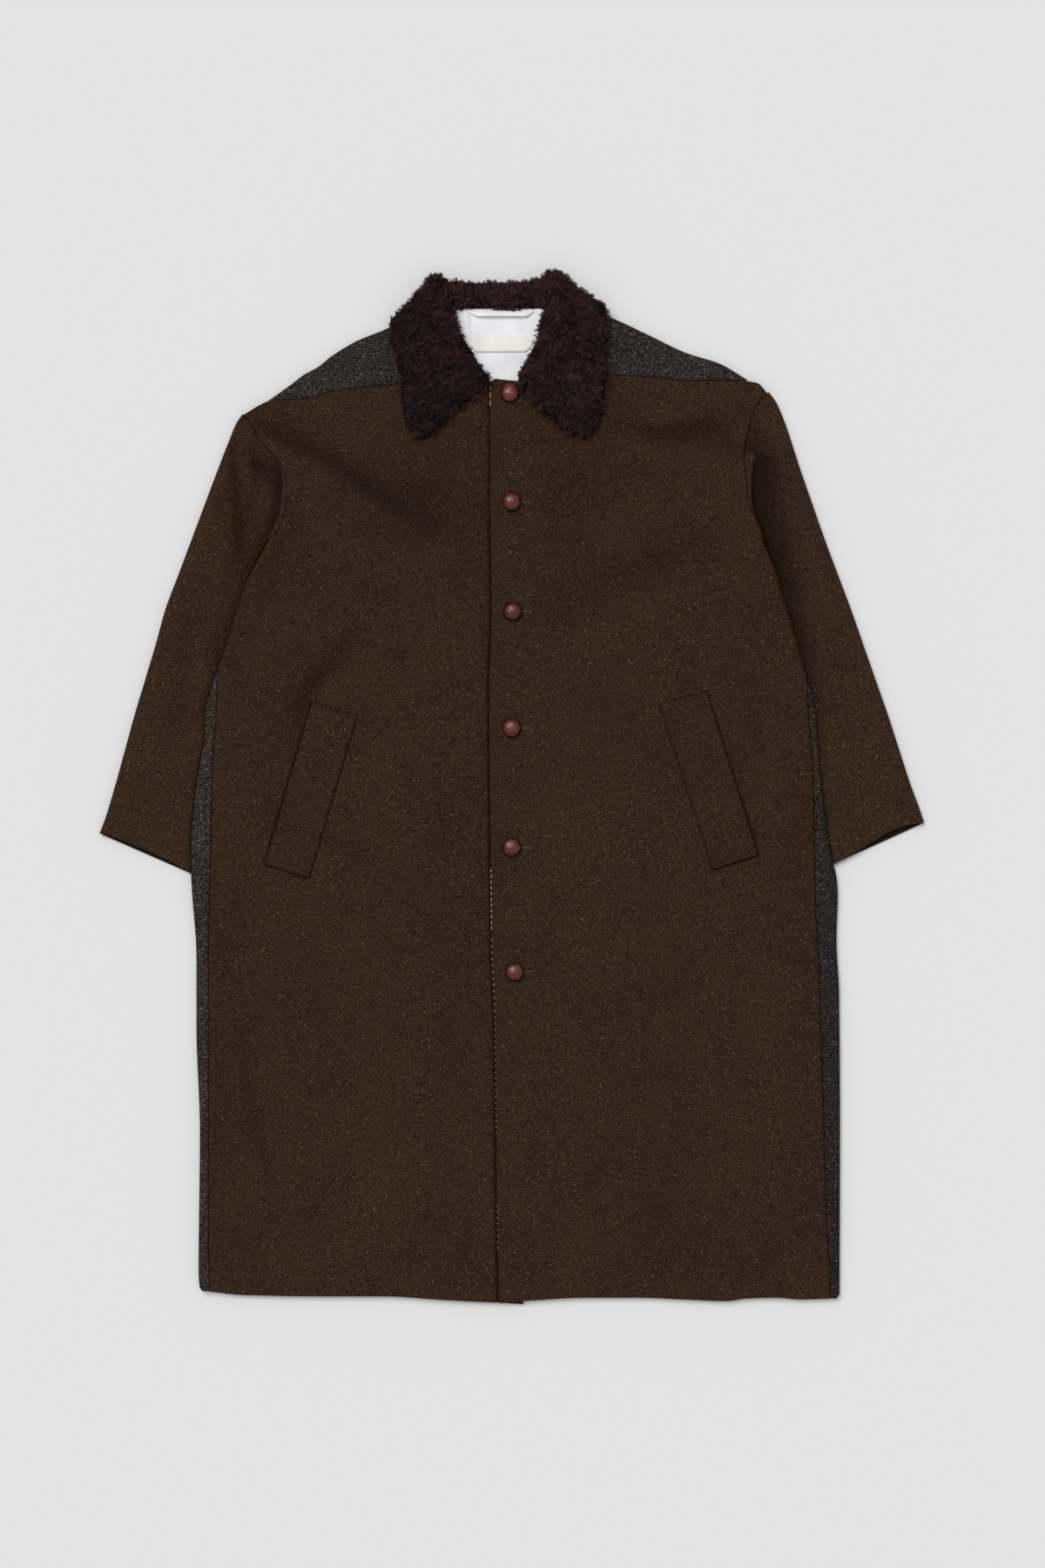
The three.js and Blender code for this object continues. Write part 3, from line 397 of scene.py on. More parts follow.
def wall(name, face, lining, material, painted_shade=None, inside=None):
    """A closed wall; its painted shade, if given, is kept on its points, and inside is the lining face's
    material.
    """
    rows, columns = face.shape[:2]
    points = np.concatenate([face.reshape(-1, 3), lining.reshape(-1, 3)])
    faces = wall_faces(rows, columns)
    if signed_volume(points, faces) < 0:
        faces = faces[:, ::-1]
    piece = new_piece(name, points, faces, material)
    if painted_shade is not None:
        shade = np.clip(np.concatenate([painted_shade.ravel(), painted_shade.ravel()]), 0, 0.85)
        store = piece.data.attributes.new("painted_shade", "FLOAT", "POINT")
        store.data.foreach_set("value", shade.astype(np.float32))
    if inside:
        piece.data.materials.append(inside)
        each = (rows - 1) * (columns - 1)
        which = np.zeros(len(piece.data.polygons), np.int32)
        which[each : 2 * each] = 1
        piece.data.polygons.foreach_set("material_index", which)
    return piece


def dressed(piece, slot, *nodes):
    """A finished piece: it rides on the coat in place of its nodes. Its slot is not used."""
    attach(piece, "root")
    if nodes:
        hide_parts(*nodes)
    return piece


# ---- materials ----------------------------------------------------------------------------


class Nodes:
    """Adds nodes to a tree and links them by name."""

    def __init__(self, tree):
        self.tree = tree

    def add(self, kind, values=None, **settings):
        node = self.tree.nodes.new("ShaderNode" + kind)
        for key, value in settings.items():
            setattr(node, key, value)
        for key, value in (values or {}).items():
            socket = node.inputs[key]
            if isinstance(value, bpy.types.NodeSocket):
                self.tree.links.new(value, socket)
            else:
                socket.default_value = value
        return node

    def math(self, operation, a, b=0.0):
        return self.add("Math", {0: a, 1: b}, operation=operation).outputs[0]

    def mix(self, factor, a, b, blend="MIX"):
        node = self.add("Mix", {0: factor, 6: a, 7: b}, data_type="RGBA", blend_type=blend)
        return node.outputs[2]

    def band(self, value, low, high, to_low=0.0, to_high=1.0):
        values = {0: value, 1: low, 2: high, 3: to_low, 4: to_high}
        return self.add("MapRange", values).outputs[0]

    def noise(self, vector, scale, detail=2.0, rough=0.5):
        values = {"Vector": vector, "Scale": scale, "Detail": detail, "Roughness": rough}
        return self.add("TexNoise", values).outputs["Fac"]


def colour(r, g, b):
    """A colour as it is seen on a screen, from 0 to 255, made linear."""
    linear = [((c / 255 + 0.055) / 1.055) ** 2.4 if c > 10 else c / 255 / 12.92 for c in (r, g, b)]
    return (*linear, 1.0)


def new_group(name, inputs, outputs):
    group = bpy.data.node_groups.new(name, "ShaderNodeTree")
    for label, kind, default in inputs:
        socket = group.interface.new_socket(label, in_out="INPUT", socket_type="NodeSocket" + kind)
        socket.default_value = default
    for label, kind in outputs:
        group.interface.new_socket(label, in_out="OUTPUT", socket_type="NodeSocket" + kind)
    return group, Nodes(group)


def group_ends(group):
    source = group.nodes.new("NodeGroupInput")
    sink = group.nodes.new("NodeGroupOutput")
    return source.outputs, sink.inputs


def wool_group():
    """Milled wool: soft diagonal twill, uneven yarns, a clouded nap and stray pale flecks."""
    grey = (0.5, 0.5, 0.5, 1.0)
    group, n = new_group(
        "milled_wool",
        [
            ("Ground", "Color", grey), ("Deep", "Color", grey), ("Fleck", "Color", grey),
            ("Turn", "Float", 0.0), ("Twill", "Float", 0.5), ("Melange", "Float", 0.3),
            ("Yarn", "Float", 0.5), ("Fleck amount", "Float", 0.5),
        ],
        [("Color", "Color"), ("Height", "Float")],
    )
    given, result = group_ends(group)
    place = n.add("TexCoord").outputs["Object"]
    turned = n.add(
        "VectorRotate", {"Vector": place, "Angle": given["Turn"]}, rotation_type="Z_AXIS"
    ).outputs[0]
    twill_pitch = 0.0022
    waves = n.add(
        "TexWave",
        {
            "Vector": turned, "Scale": 2 * math.pi / 20 / twill_pitch, "Distortion": 1.1,
            "Detail": 2.0, "Detail Scale": 2.2, "Detail Roughness": 0.6,
        },
        wave_type="BANDS", bands_direction="X", wave_profile="SIN",
    ).outputs["Fac"]
    yarn = n.band(n.noise(place, 480.0, 4.0, 0.75), 0.32, 0.68, -0.5, 0.5)
    speck = n.noise(place, 560.0, 2.0, 0.5)
    cloud = n.band(n.noise(place, 14.0, 3.0, 0.6), 0.3, 0.7, -0.06, 0.06)
    melange = n.band(n.noise(place, 410.0, 4.0, 0.7), 0.40, 0.62, -0.5, 0.5)
    tone = n.math("MULTIPLY", n.band(waves, 0.0, 1.0, -0.5, 0.5), given["Twill"])
    tone = n.math("ADD", tone, n.math("MULTIPLY", melange, given["Melange"]))
    tone = n.math("ADD", tone, n.math("MULTIPLY", yarn, given["Yarn"]))
    tone = n.math("ADD", n.math("ADD", tone, cloud), 0.5)
    cast = n.band(n.noise(place, 9.0, 2.0, 0.5), 0.36, 0.64)
    tint = n.mix(cast, (1.025, 0.99, 1.0, 1.0), (0.975, 1.01, 0.99, 1.0))
    body = n.mix(1.0, n.mix(tone, given["Deep"], given["Ground"]), tint, "MULTIPLY")
    flecks = n.math("MULTIPLY", n.band(speck, 0.64, 0.74), given["Fleck amount"])
    # Painted shade: a value kept on a piece's points mixes the cloth's colour towards near black.
    painted_shade = n.add("Attribute", attribute_name="painted_shade").outputs["Fac"]
    cloth_with_painted_shade = n.mix(painted_shade, n.mix(flecks, body, given["Fleck"]), (0.003, 0.002, 0.0015, 1.0))
    n.tree.links.new(cloth_with_painted_shade, result["Color"])
    height = n.math("ADD", n.math("MULTIPLY", waves, given["Twill"]), n.math("MULTIPLY", yarn, 0.9))
    n.tree.links.new(n.math("ADD", height, n.math("MULTIPLY", speck, 0.6)), result["Height"])
    return group


WOOL = wool_group()


def new_material(name):
    material = bpy.data.materials.new(name)
    material.use_nodes = True
    nodes = Nodes(material.node_tree)
    shader = material.node_tree.nodes["Principled BSDF"]
    return material, nodes, shader


def wool(name, ground, deep, fleck, turn, twill, melange, yarn, flecks, sheen):
    material, n, shader = new_material(name)
    cloth = n.add("Group")
    cloth.node_tree = WOOL
    values = {
        "Ground": ground, "Deep": deep, "Fleck": fleck, "Turn": turn, "Twill": twill,
        "Melange": melange, "Yarn": yarn, "Fleck amount": flecks,
    }
    for key, value in values.items():
        cloth.inputs[key].default_value = value
    bump = n.add("Bump", {"Height": cloth.outputs["Height"], "Strength": 0.55, "Distance": 0.0007})
    n.tree.links.new(cloth.outputs["Color"], shader.inputs["Base Color"])
    n.tree.links.new(bump.outputs[0], shader.inputs["Normal"])
    shader.inputs["Roughness"].default_value = 0.92
    shader.inputs["Specular IOR Level"].default_value = 0.08
    shader.inputs["Sheen Weight"].default_value = sheen
    shader.inputs["Sheen Roughness"].default_value = 0.45
    shader.inputs["Sheen Tint"].default_value = ground
    return material


BROWN = {
    "ground": colour(71, 52, 37), "deep": colour(26, 15, 10), "fleck": colour(122, 103, 79),
    "twill": 0.50, "melange": 0.24, "yarn": 1.15, "flecks": 0.95, "sheen": 0.02,
}
GREY = {
    "ground": colour(69, 64, 61), "deep": colour(9, 8, 8), "fleck": colour(164, 158, 152),
    "twill": 0.05, "melange": 0.95, "yarn": 0.50, "flecks": 0.9, "sheen": 0.02,
}
TWILL_TURN = math.radians(43)
SLEEVE_TURN = math.radians(20)
brown_body = wool("brown_wool_body", turn=TWILL_TURN, **BROWN)
brown_right_sleeve = wool("brown_wool_right_sleeve", turn=TWILL_TURN + SLEEVE_TURN, **BROWN)
brown_left_sleeve = wool("brown_wool_left_sleeve", turn=TWILL_TURN - SLEEVE_TURN, **BROWN)
grey_wool = wool("grey_wool", turn=0.0, **GREY)


def pile_material():
    """Curled pile, darker at its roots and paler at its tips as painted shade and painted light. Each
    strand's tone, random with that painted shade and light along it, is kept on its mesh.
    """
    material, n, shader = new_material("collar_pile")
    tone = n.add("Attribute", attribute_name="tone").outputs["Fac"]
    place = n.add("TexCoord").outputs["Object"]
    drift = n.band(n.noise(place, 60.0, 2.0), 0.3, 0.7, -0.15, 0.15)
    shade = n.add("Clamp", {"Value": n.math("ADD", tone, drift)}).outputs[0]
    base_colour = n.mix(shade, colour(13, 6, 7), colour(87, 60, 62))
    n.tree.links.new(base_colour, shader.inputs["Base Color"])
    shader.inputs["Roughness"].default_value = 0.75
    shader.inputs["Specular IOR Level"].default_value = 0.14
    return material


def smooth_cloth(name, ground, deep, weave_scale, roughness, strength, shine=0.3):
    """Lining and tape: a fine plain weave over soft cloudiness."""
    material, n, shader = new_material(name)
    place = n.add("TexCoord").outputs["Object"]
    weave = n.noise(place, weave_scale, 2.0, 0.5)
    cloud = n.noise(place, 40.0, 2.0, 0.5)
    fade = n.band(n.math("ADD", n.math("MULTIPLY", weave, 0.5), cloud), 0.4, 1.0)
    n.tree.links.new(n.mix(fade, deep, ground), shader.inputs["Base Color"])
    bump = n.add("Bump", {"Height": weave, "Strength": strength, "Distance": 0.0003})
    n.tree.links.new(bump.outputs[0], shader.inputs["Normal"])
    shader.inputs["Roughness"].default_value = roughness
    shader.inputs["Specular IOR Level"].default_value = shine
    return material


def leather_material():
    material, n, shader = new_material("button_leather")
    place = n.add("TexCoord").outputs["Object"]
    cells = n.add("TexVoronoi", {"Vector": place, "Scale": 1400.0}, feature="DISTANCE_TO_EDGE")
    creases = n.band(cells.outputs[0], 0.0, 0.12)
    patina = n.band(n.noise(place, 130.0, 3.0), 0.35, 0.65)
    each = n.band(n.noise(place, 11.0, 1.0), 0.40, 0.60)
    up_the_dome = n.add("Attribute", attribute_name="wear_and_rim_shade").outputs["Fac"]
    hide = n.mix(each, colour(94, 29, 15), colour(122, 52, 25))
    base_colour = n.mix(n.band(patina, 0.0, 1.0, 0.55, 1.0), colour(50, 12, 8), hide)
    # Painted shade: the colour darkens towards a near black down the sides of the dome to its rim.
    wear_and_rim_shade = n.mix(n.band(up_the_dome, 0.14, 0.96), colour(22, 5, 4), base_colour)
    shaded = n.mix(n.band(creases, 0.0, 1.0, 0.55, 1.0), colour(30, 9, 7), wear_and_rim_shade)
    n.tree.links.new(shaded, shader.inputs["Base Color"])
    n.tree.links.new(n.band(patina, 0.0, 1.0, 0.30, 0.42), shader.inputs["Roughness"])
    shader.inputs["Specular IOR Level"].default_value = 0.12
    n.tree.links.new(n.band(up_the_dome, 0.25, 0.85, 0.02, 1.0), shader.inputs["Coat Weight"])
    shader.inputs["Coat Roughness"].default_value = 0.08
    dents = n.math("ADD", n.math("MULTIPLY", creases, 0.1), n.noise(place, 200.0, 0.0))
    bump = n.add("Bump", {"Height": dents, "Strength": 0.5, "Distance": 0.0005})
    n.tree.links.new(bump.outputs[0], shader.inputs["Coat Normal"])
    n.tree.links.new(bump.outputs[0], shader.inputs["Normal"])
    return material


def plain_thread(name, tint):
    material, n, shader = new_material(name)
    place = n.add("TexCoord").outputs["Object"]
    twist = n.noise(place, 2500.0, 1.0)
    dark = tuple(c * 0.6 for c in tint[:3]) + (1.0,)
    n.tree.links.new(n.mix(twist, dark, tint), shader.inputs["Base Color"])
    shader.inputs["Roughness"].default_value = 0.7
    return material


pile = pile_material()
white_lining = smooth_cloth(
    "white_lining", colour(246, 246, 248), colour(226, 226, 231),
    weave_scale=1500.0, roughness=0.55, strength=0.15,
)
white_tape = smooth_cloth(
    "white_tape", colour(250, 250, 248), colour(228, 227, 224),
    weave_scale=1200.0, roughness=0.6, strength=0.3,
)
cream_tape = smooth_cloth(
    "cream_label", colour(245, 242, 236), colour(231, 226, 216),
    weave_scale=1800.0, roughness=0.65, strength=0.4,
)
# A dark brown lining on the sleeves' inner faces, coloured like the shade inside the cuffs: painted
# shade.
shaded_sleeve_lining = smooth_cloth(
    "shaded_sleeve_lining", colour(37, 25, 17), colour(26, 16, 11),
    weave_scale=1500.0, roughness=0.7, strength=0.15, shine=0.04,
)
leather = leather_material()
brown_thread = plain_thread("brown_thread", colour(60, 46, 35))
slit_thread = plain_thread("slit_thread", colour(98, 92, 83))
white_thread = plain_thread("white_thread", colour(226, 198, 176))

# ---- fronts -------------------------------------------------------------------------------

side_right, side_left = curve(SIDE_RIGHT), curve(SIDE_LEFT)
outer_right, outer_left = curve(FOLD_RIGHT), curve(FOLD_LEFT)
closing_edge = curve(LAP_OVER)
UNDERARM = 128  # where the fold over the sleeve ends and the side seam shows
ARMHOLE_LOW = 284  # where the armhole seam comes out of that fold
UNDER_LAP_LEVEL = 6.2  # height of the right front under the closing edge
LEFT_FRONT_LIFT = 0.1
OVER_LAP_LIFT = 1.0  # how far the closing edge stands above the rest of the left front


def unevenness(x, y):
    """The slight hand-laid waviness of the whole body."""
    slow = 0.35 * np.sin(x / 61 + y / 143) + 0.3 * np.sin(y / 87 - x / 119 + 1.3)
    along = 0.12 * np.sin(x / 17.3 + 2.1 * np.sin(y / 41))
    across = 0.10 * np.sin(y / 13.7 + 1.7 * np.sin(x / 33))
    return slow + (along + across)


def height_right_front(x, y):
    """The right front dips under the closing edge of the left one, close beside it."""
    beside = x - closing_edge(y)
    lap = smooth(-4.4, -0.6, beside)
    free = 1 - smooth(-60, -12, beside)
    rise = (fold_rise(FOLDS_RIGHT_FRONT, x, y) + unevenness(x, y)) * free
    return STACK * (1 - lap) + UNDER_LAP_LEVEL * lap + rise


def height_left_front(x, y):
    """The left front lies smooth and a little raised along its closing edge."""
    lift = OVER_LAP_LIFT * (1 - smooth(-33, -8, x))
    folds = fold_rise(FOLDS_LEFT_FRONT, x, y) * smooth(6, 50, x)
    return STACK + LEFT_FRONT_LIFT + lift + folds + unevenness(x, y) * smooth(-20, 40, x)


def welt_place(corners):
    """The middle of a welt, and its own length and width as directions."""
    sewn_top, sewn_low, mouth_low, mouth_top = (np.array(c, float) for c in corners)
    middle = (sewn_top + sewn_low + mouth_low + mouth_top) / 4
    along = (sewn_top + mouth_top - sewn_low - mouth_low) / 2
    across = (mouth_top + mouth_low - sewn_top - sewn_low) / 2
    return middle, along, across


def past_welt(corners, x, y):
    """How far a place lies past a welt's ends and sides; top and mouth are the positive ways."""
    middle, along, across = welt_place(corners)
    turn = np.linalg.inv(np.column_stack([along, across]))
    a = turn[0, 0] * (x - middle[0]) + turn[0, 1] * (y - middle[1])
    b = turn[1, 0] * (x - middle[0]) + turn[1, 1] * (y - middle[1])
    past_end = (np.abs(a) - 0.5) * np.linalg.norm(along)
    past_side = (np.abs(b) - 0.5) * np.linalg.norm(across)
    return a, b, past_end, past_side


def welt_seat(corners, x, y):
    """The line pressed into a front round its welt: deepest along the open mouth."""
    a, b, past_end, past_side = past_welt(corners, x, y)
    within_length = 1 - smooth(-0.6, 1.4, past_end)
    within_width = 1 - smooth(-0.6, 1.4, past_side)
    mouth = 2.0 * mark(past_side - 0.7, 1.1) * within_length * (b > 0)
    sewn = 1.1 * mark(past_side - 0.4, 0.8) * within_length * (b < 0)
    low_end = 1.7 * mark(past_end - 0.6, 1.0) * within_width * (a < 0)
    top_end = 0.9 * mark(past_end - 0.4, 0.8) * within_width * (a > 0)
    return mouth + sewn + low_end + top_end


def turned_grid(corners, x, y, straight_x, straight_y):
    """Turns the grid over a welt, so that its lines run along the welt."""
    middle, along, _ = welt_place(corners)
    angle = math.atan2(along[1], along[0]) - math.pi / 2
    near = 1 - smooth(30, 86, np.abs(x - middle[0]))
    near = near * (1 - smooth(101, 190, np.abs(y - middle[1])))
    dx = x + (straight_x - x) * near - middle[0]
    dy = y + (straight_y - y) * near - middle[1]
    c, s = np.cos(angle * near), np.sin(angle * near)
    return middle[0] + dx * c - dy * s, middle[1] + dx * s + dy * c


def with_lines(even, wanted, gap):
    """Even grid lines with the wanted ones put in, and no even one within a gap of those."""
    wanted = np.asarray(wanted)
    kept = [e for e in even if np.abs(wanted - e).min() > gap or e in (0.0, 1.0)]
    return np.unique(np.r_[kept, wanted])


# Distances that get a grid line: past the edge of a welt, and from the under-lap's hidden edge.
WELT_LINES = np.array([-3.4, -2.0, -1.0, -0.3, 0.2, 0.7, 1.2, 1.8, 2.8, 4.4])
LAP_LINES = np.array([
    30.0, 33.0, 35.0, 36.2, 37.0, 37.6, 38.2, 38.8, 39.5, 40.4, 41.6, 43.0, 45.0,
])
LAP_WIDTH = 38  # of the under-lap that lies hidden


def front_grid(edges, width, length, low, welt, under_lap):
    """A front's plan, with fine grid lines along its welt and beside the closing edge over it."""
    u = spread(width, 4.6, STITCHED, ROUNDED + (6.0, 8.0, 10.0))
    v = spread(length, 5.2, ROUNDED + (6.0, 9.0), ROUNDED)
    middle, long_way, wide_way = welt_place(welt)
    half_width, half_length = np.linalg.norm(wide_way) / 2, np.linalg.norm(long_way) / 2
    wide_lines = np.r_[middle[0] - half_width - WELT_LINES, middle[0] + half_width + WELT_LINES]
    long_lines = np.r_[middle[1] - half_length - WELT_LINES, middle[1] + half_length + WELT_LINES]
    fine = np.linspace(0, 1, 500)
    row_x = patch(fine, [(middle[1] - low) / length], *edges)[0][0]
    way = 1.0 if row_x[-1] > row_x[0] else -1.0
    middle_u = np.interp(middle[0] * way, row_x * way, fine)
    column_y = patch([middle_u], fine, *edges)[1][:, 0]
    u = with_lines(u, np.interp(wide_lines * way, row_x * way, fine), 1.6 / width)
    v = with_lines(v, np.interp(long_lines, column_y, fine), 1.6 / length)
    if under_lap:
        u = with_lines(u, 1 - LAP_LINES / width, 1.2 / width)
    x, y = patch(u, v, *edges)
    straight_x = np.broadcast_to(np.interp(u, fine, row_x), x.shape)
    straight_y = np.broadcast_to(np.interp(v, fine, column_y)[:, None], x.shape)
    return u, v, *turned_grid(welt, x, y, straight_x, straight_y)


def over_sleeve(y):
    """Where a front turns softly over its sleeve: from the underarm up to the armhole seam."""
    above = smooth(UNDERARM - 14, UNDERARM + 22, y)
    return above * (1 - smooth(ARMHOLE_LOW - 6, ARMHOLE_LOW + 8, y))


def stitched_rows(from_side, y):
    """The two rows of stitching beside the side seam, which press into the cloth."""
    below_sleeve = smooth(-600, -560, y) * (1 - smooth(20, 70, y))
    return below_sleeve * sum(mark(from_side - place, 0.9) for place in SIDE_ROWS)


def lap_shade(beside):
    """The shade on the under-lap along the closing edge that lies over it."""
    return (0.42 * mark(beside - 0.8, 1.1) + 0.12 * np.exp(-np.abs(beside) / 9)) * (beside > -6)


def front(name, side, hem, seam, lap, height, side_ends, lap_ends, lap_radius, welt, painted_shade_bands, under_lap):
    """A front: a wall over its plan, turned down where it folds over the sleeve."""
    width = abs(side(side_ends[0]) - lap(lap_ends[0]))
    length = side_ends[1] - side_ends[0]
    hem_ends = side(side_ends[0]), lap(lap_ends[0])
    seam_ends = side(side_ends[1]), lap(lap_ends[1])
    edges = (
        upright(side, side_ends), upright(lap, lap_ends),
        sideways(curve(hem), hem_ends), sideways(curve(seam), seam_ends),
    )
    u, v, x, y = front_grid(edges, width, length, side_ends[0], welt, under_lap)
    from_side = np.broadcast_to(u * width, x.shape)
    from_lap = width - from_side
    from_hem = np.broadcast_to((v * length)[:, None], x.shape)
    from_seam = length - from_hem
    if under_lap:
        # The fine grid lines are drawn to the closing edge.
        x = x + (closing_edge(y) - lap(y) + LAP_WIDTH) * mark(from_lap - LAP_WIDTH, 15)
    seat = welt_seat(welt, x, y)
    rows = stitched_rows(from_side, y)
    # Painted shade: even over the front, in its listed bands, round the welt's seat, along its seams and
    # stitched rows, and beside the closing edge on the under-lap.
    painted_shade = FRONT_PAINTED_SHADE + fold_rise(painted_shade_bands, x, y) + 0.17 * np.minimum(seat, 1.8) ** 1.5
    painted_shade = painted_shade + 0.30 * mark(from_seam, 1.3) + 0.30 * mark(from_side, 1.3) + 0.16 * rows
    if under_lap:
        painted_shade = painted_shade + lap_shade(closing_edge(y) - x)
    turned = over_sleeve(y)
    top = height(x, y) - seat - 7.4 * turned * mark(from_side, 4.0) - 0.32 * rows
    # Seams pull their edges down.
    top = top - 1.0 * mark(from_side, 1.9) * (1 - turned) - 0.7 * mark(from_seam, 2.2)
    fall = np.maximum(rounding(from_side, 1.0), rounding(from_lap, lap_radius))
    fall = np.maximum(fall, rounding(from_hem, EDGE_ROUND))
    fall = np.maximum(fall, rounding(from_seam, 0.9))
    under = top + seat * 0.7 - CLOTH + np.minimum(fall, EDGE_ROUND)
    face = np.stack([x, y, top - fall], axis=-1)
    lining = np.stack([x, y, under], axis=-1)
    return wall(name, face, lining, brown_body, painted_shade)


front_right = front(
    "front_right_wool", side_right, HEM_RIGHT, YOKE_SEAM_RIGHT, curve(LAP_UNDER), height_right_front,
    SIDE_ENDS_RIGHT, LAP_ENDS_RIGHT, 1.2, WELT_RIGHT, PAINTED_SHADE_RIGHT_FRONT, under_lap=True,
)
front_left = front(
    "front_left_wool", side_left, HEM_LEFT, YOKE_SEAM_LEFT, closing_edge, height_left_front,
    SIDE_ENDS_LEFT, LAP_ENDS_LEFT, EDGE_ROUND, WELT_LEFT, PAINTED_SHADE_LEFT_FRONT, under_lap=False,
)
dressed(front_right, "brown_wool", "front_right")
dressed(front_left, "brown_wool", "front_left")

# ---- back and yokes -----------------------------------------------------------------------

BACK_LOW = -586  # lowest row of the back, before its hem is shaped


def turned_path(curl, strip):
    """Out and up along a strip that turns up round a side fold, lying flat where curl is 0."""
    turned = math.pi * FOLD_RADIUS
    along = np.r_[np.linspace(0, turned, 13), turned + strip * np.linspace(0, 1, 9)[1:]]
    bend = np.minimum(along, turned)
    angle = curl * bend / FOLD_RADIUS
    swing = FOLD_RADIUS / max(curl, 1e-3)
    out = swing * np.sin(angle) + (along - bend) * np.cos(angle)
    up = swing * (1 - np.cos(angle)) + (along - bend) * np.sin(angle)
    return out, up, angle


def back_side(outward, outer, seam, level):
    """One side of the back at a height: where its turn begins, and how it runs from there."""
    curl = 1 - float(smooth(UNDERARM - 4, UNDERARM + 18, level))
    wide = abs(float(outer(level)) - float(seam(level)))
    strip = max(0.6, wide - STACK / 2 - SEAM) if curl > 0.98 else 0.6
    out, up, angle = turned_path(curl, strip)
    reach = (out + CLOTH / 2 * np.sin(angle)).max()
    edge = float(outer(level)) if curl > 0 else float(seam(level)) - outward * 2.2
    return outward, edge - outward * reach, out, up, angle, level


def turned_edge(side, offset, corner):
    """One layer of the back's cloth round a side fold, its hem's corner drawn up."""
    outward, begin, out, up, angle, level = side
    to_seam = out.size - 1 - np.arange(out.size)
    pull = np.where(angle > 2.5, 0.7 * mark(to_seam, 2.5), 0)
    away = out - offset * np.sin(angle)
    y = level + 4.6 * corner * mark(away.max() - away, 2.6)
    z = CLOTH / 2 + up + offset * np.cos(angle) - pull
    return np.stack([begin + outward * away, y, z], axis=-1)


def back_cloth():
    """The back: flat underneath, turned up round both sides to the fronts' side seams."""
    rows = np.r_[
        BACK_LOW + np.array(ROUNDED), np.arange(-576, 60, 8.0), np.arange(60, 160, 4.0),
        np.arange(160, 425, 11.0),
    ]
    top_line, hem_line = curve(BACK_TOP), curve(BACK_HEM)
    columns = np.linspace(0, 1, 40)[1:-1]
    face, lining, painted_shades = [], [], []
    for y in rows:
        above = float(smooth(160, 424, y))
        at_hem = 1 - float(smooth(BACK_LOW, -500, y))
        corner = 1 - float(smooth(BACK_LOW, -566, y))
        level_right = y + 3.4 * at_hem
        level_left = y + 25 * above - 4.8 * at_hem
        right = back_side(-1, outer_right, side_right, level_right)
        left = back_side(1, outer_left, side_left, level_left)
        x = between((right[1], left[1]), columns)
        hem = (hem_line(x) - BACK_LOW + 4.8 * columns) * at_hem
        top = (top_line(x) - (424 + 25 * columns)) * above**3
        flat_y = y + (level_left - y) * columns + hem + top
        press = float(rounding(y - BACK_LOW, EDGE_ROUND))
        for offset, z, store in (
            (-CLOTH / 2, press, face), (CLOTH / 2, CLOTH - press, lining),
        ):
            plate = np.stack([x, flat_y, np.full_like(x, z)], axis=-1)
            turns = [turned_edge(side, offset, corner) for side in (right, left)]
            store.append(np.concatenate([turns[0][::-1], plate, turns[1]]))
        # Painted shade on the turn at the left side, stronger towards the hem.
        lower = 1 - float(smooth(-220, -20, y))
        turn_size = len(turns[0])
        painted_shades.append(np.repeat([0.0, 0.0, 0.26 + 0.14 * lower], [turn_size, x.size, turn_size]))
    return wall("back_wool", np.array(face), np.array(lining), grey_wool, np.array(painted_shades))


def yoke_drops(length):
    """Shares of the way down the part of a yoke that lies on the front, always 22 of them."""
    short = length <= 12
    drops = np.linspace(0, 1, 9)[1:] if short else spread(length, 4.5, (), ROUNDED[:6])[1:]
    return np.interp(np.linspace(0, 1, 22), np.linspace(0, 1, drops.size), drops)


def yoke_section(at, fold, length, lip_y, offset):
    """One layer of a yoke's cloth at one place: its lip, its fold and its part on the front."""
    bends, drops = np.linspace(0, math.pi, 15), yoke_drops(length)
    radius = FOLD_RADIUS - offset
    lip = np.array([[at, lip_y, CLOTH / 2 + offset]])
    round_z = CLOTH / 2 + FOLD_RADIUS - radius * np.cos(bends)
    turn = np.stack([np.full_like(bends, at), fold + radius * np.sin(bends), round_z], axis=-1)
    away, y = length * (1 - drops), fold - length * drops
    pull = 0.7 * mark(away, 2.2) + rounding(away, 0.9) * (1 if offset < 0 else -1)
    puff = unevenness(np.full_like(drops, at), y) * smooth(0, 12, length * drops)
    flat_z = STACK - CLOTH / 2 - offset - pull + puff * smooth(0, 8, away)
    flat = np.stack([np.full_like(drops, at), y, flat_z], axis=-1)
    return np.concatenate([lip, turn, flat])


def yoke_cloth(name, shoulder, seam, low, x_from, x_to, painted_shades):
    """A yoke: a lip under the shoulder, the fold, and the part that lies on the front."""
    shoulder_line, seam_line, lip_line = curve(shoulder), curve(seam), curve(low)
    face, lining = [], []
    for at in between((x_from, x_to), spread(abs(x_to - x_from), 4.0)):
        fold = float(shoulder_line(at)) - FOLD_RADIUS - CLOTH / 2
        length = max(0.8, fold - float(seam_line(at)) - SEAM)
        lip_y = min(float(lip_line(at)), fold - 0.5)
        face.append(yoke_section(at, fold, length, lip_y, -CLOTH / 2))
        lining.append(yoke_section(at, fold, length, lip_y, CLOTH / 2))
    face = np.array(face)
    # Painted shade along the yoke, from its value at one end to that at the other.
    painted_shade = np.interp(face[..., 0], (x_from, x_to), painted_shades)
    return wall(name, face, np.array(lining), grey_wool, painted_shade)


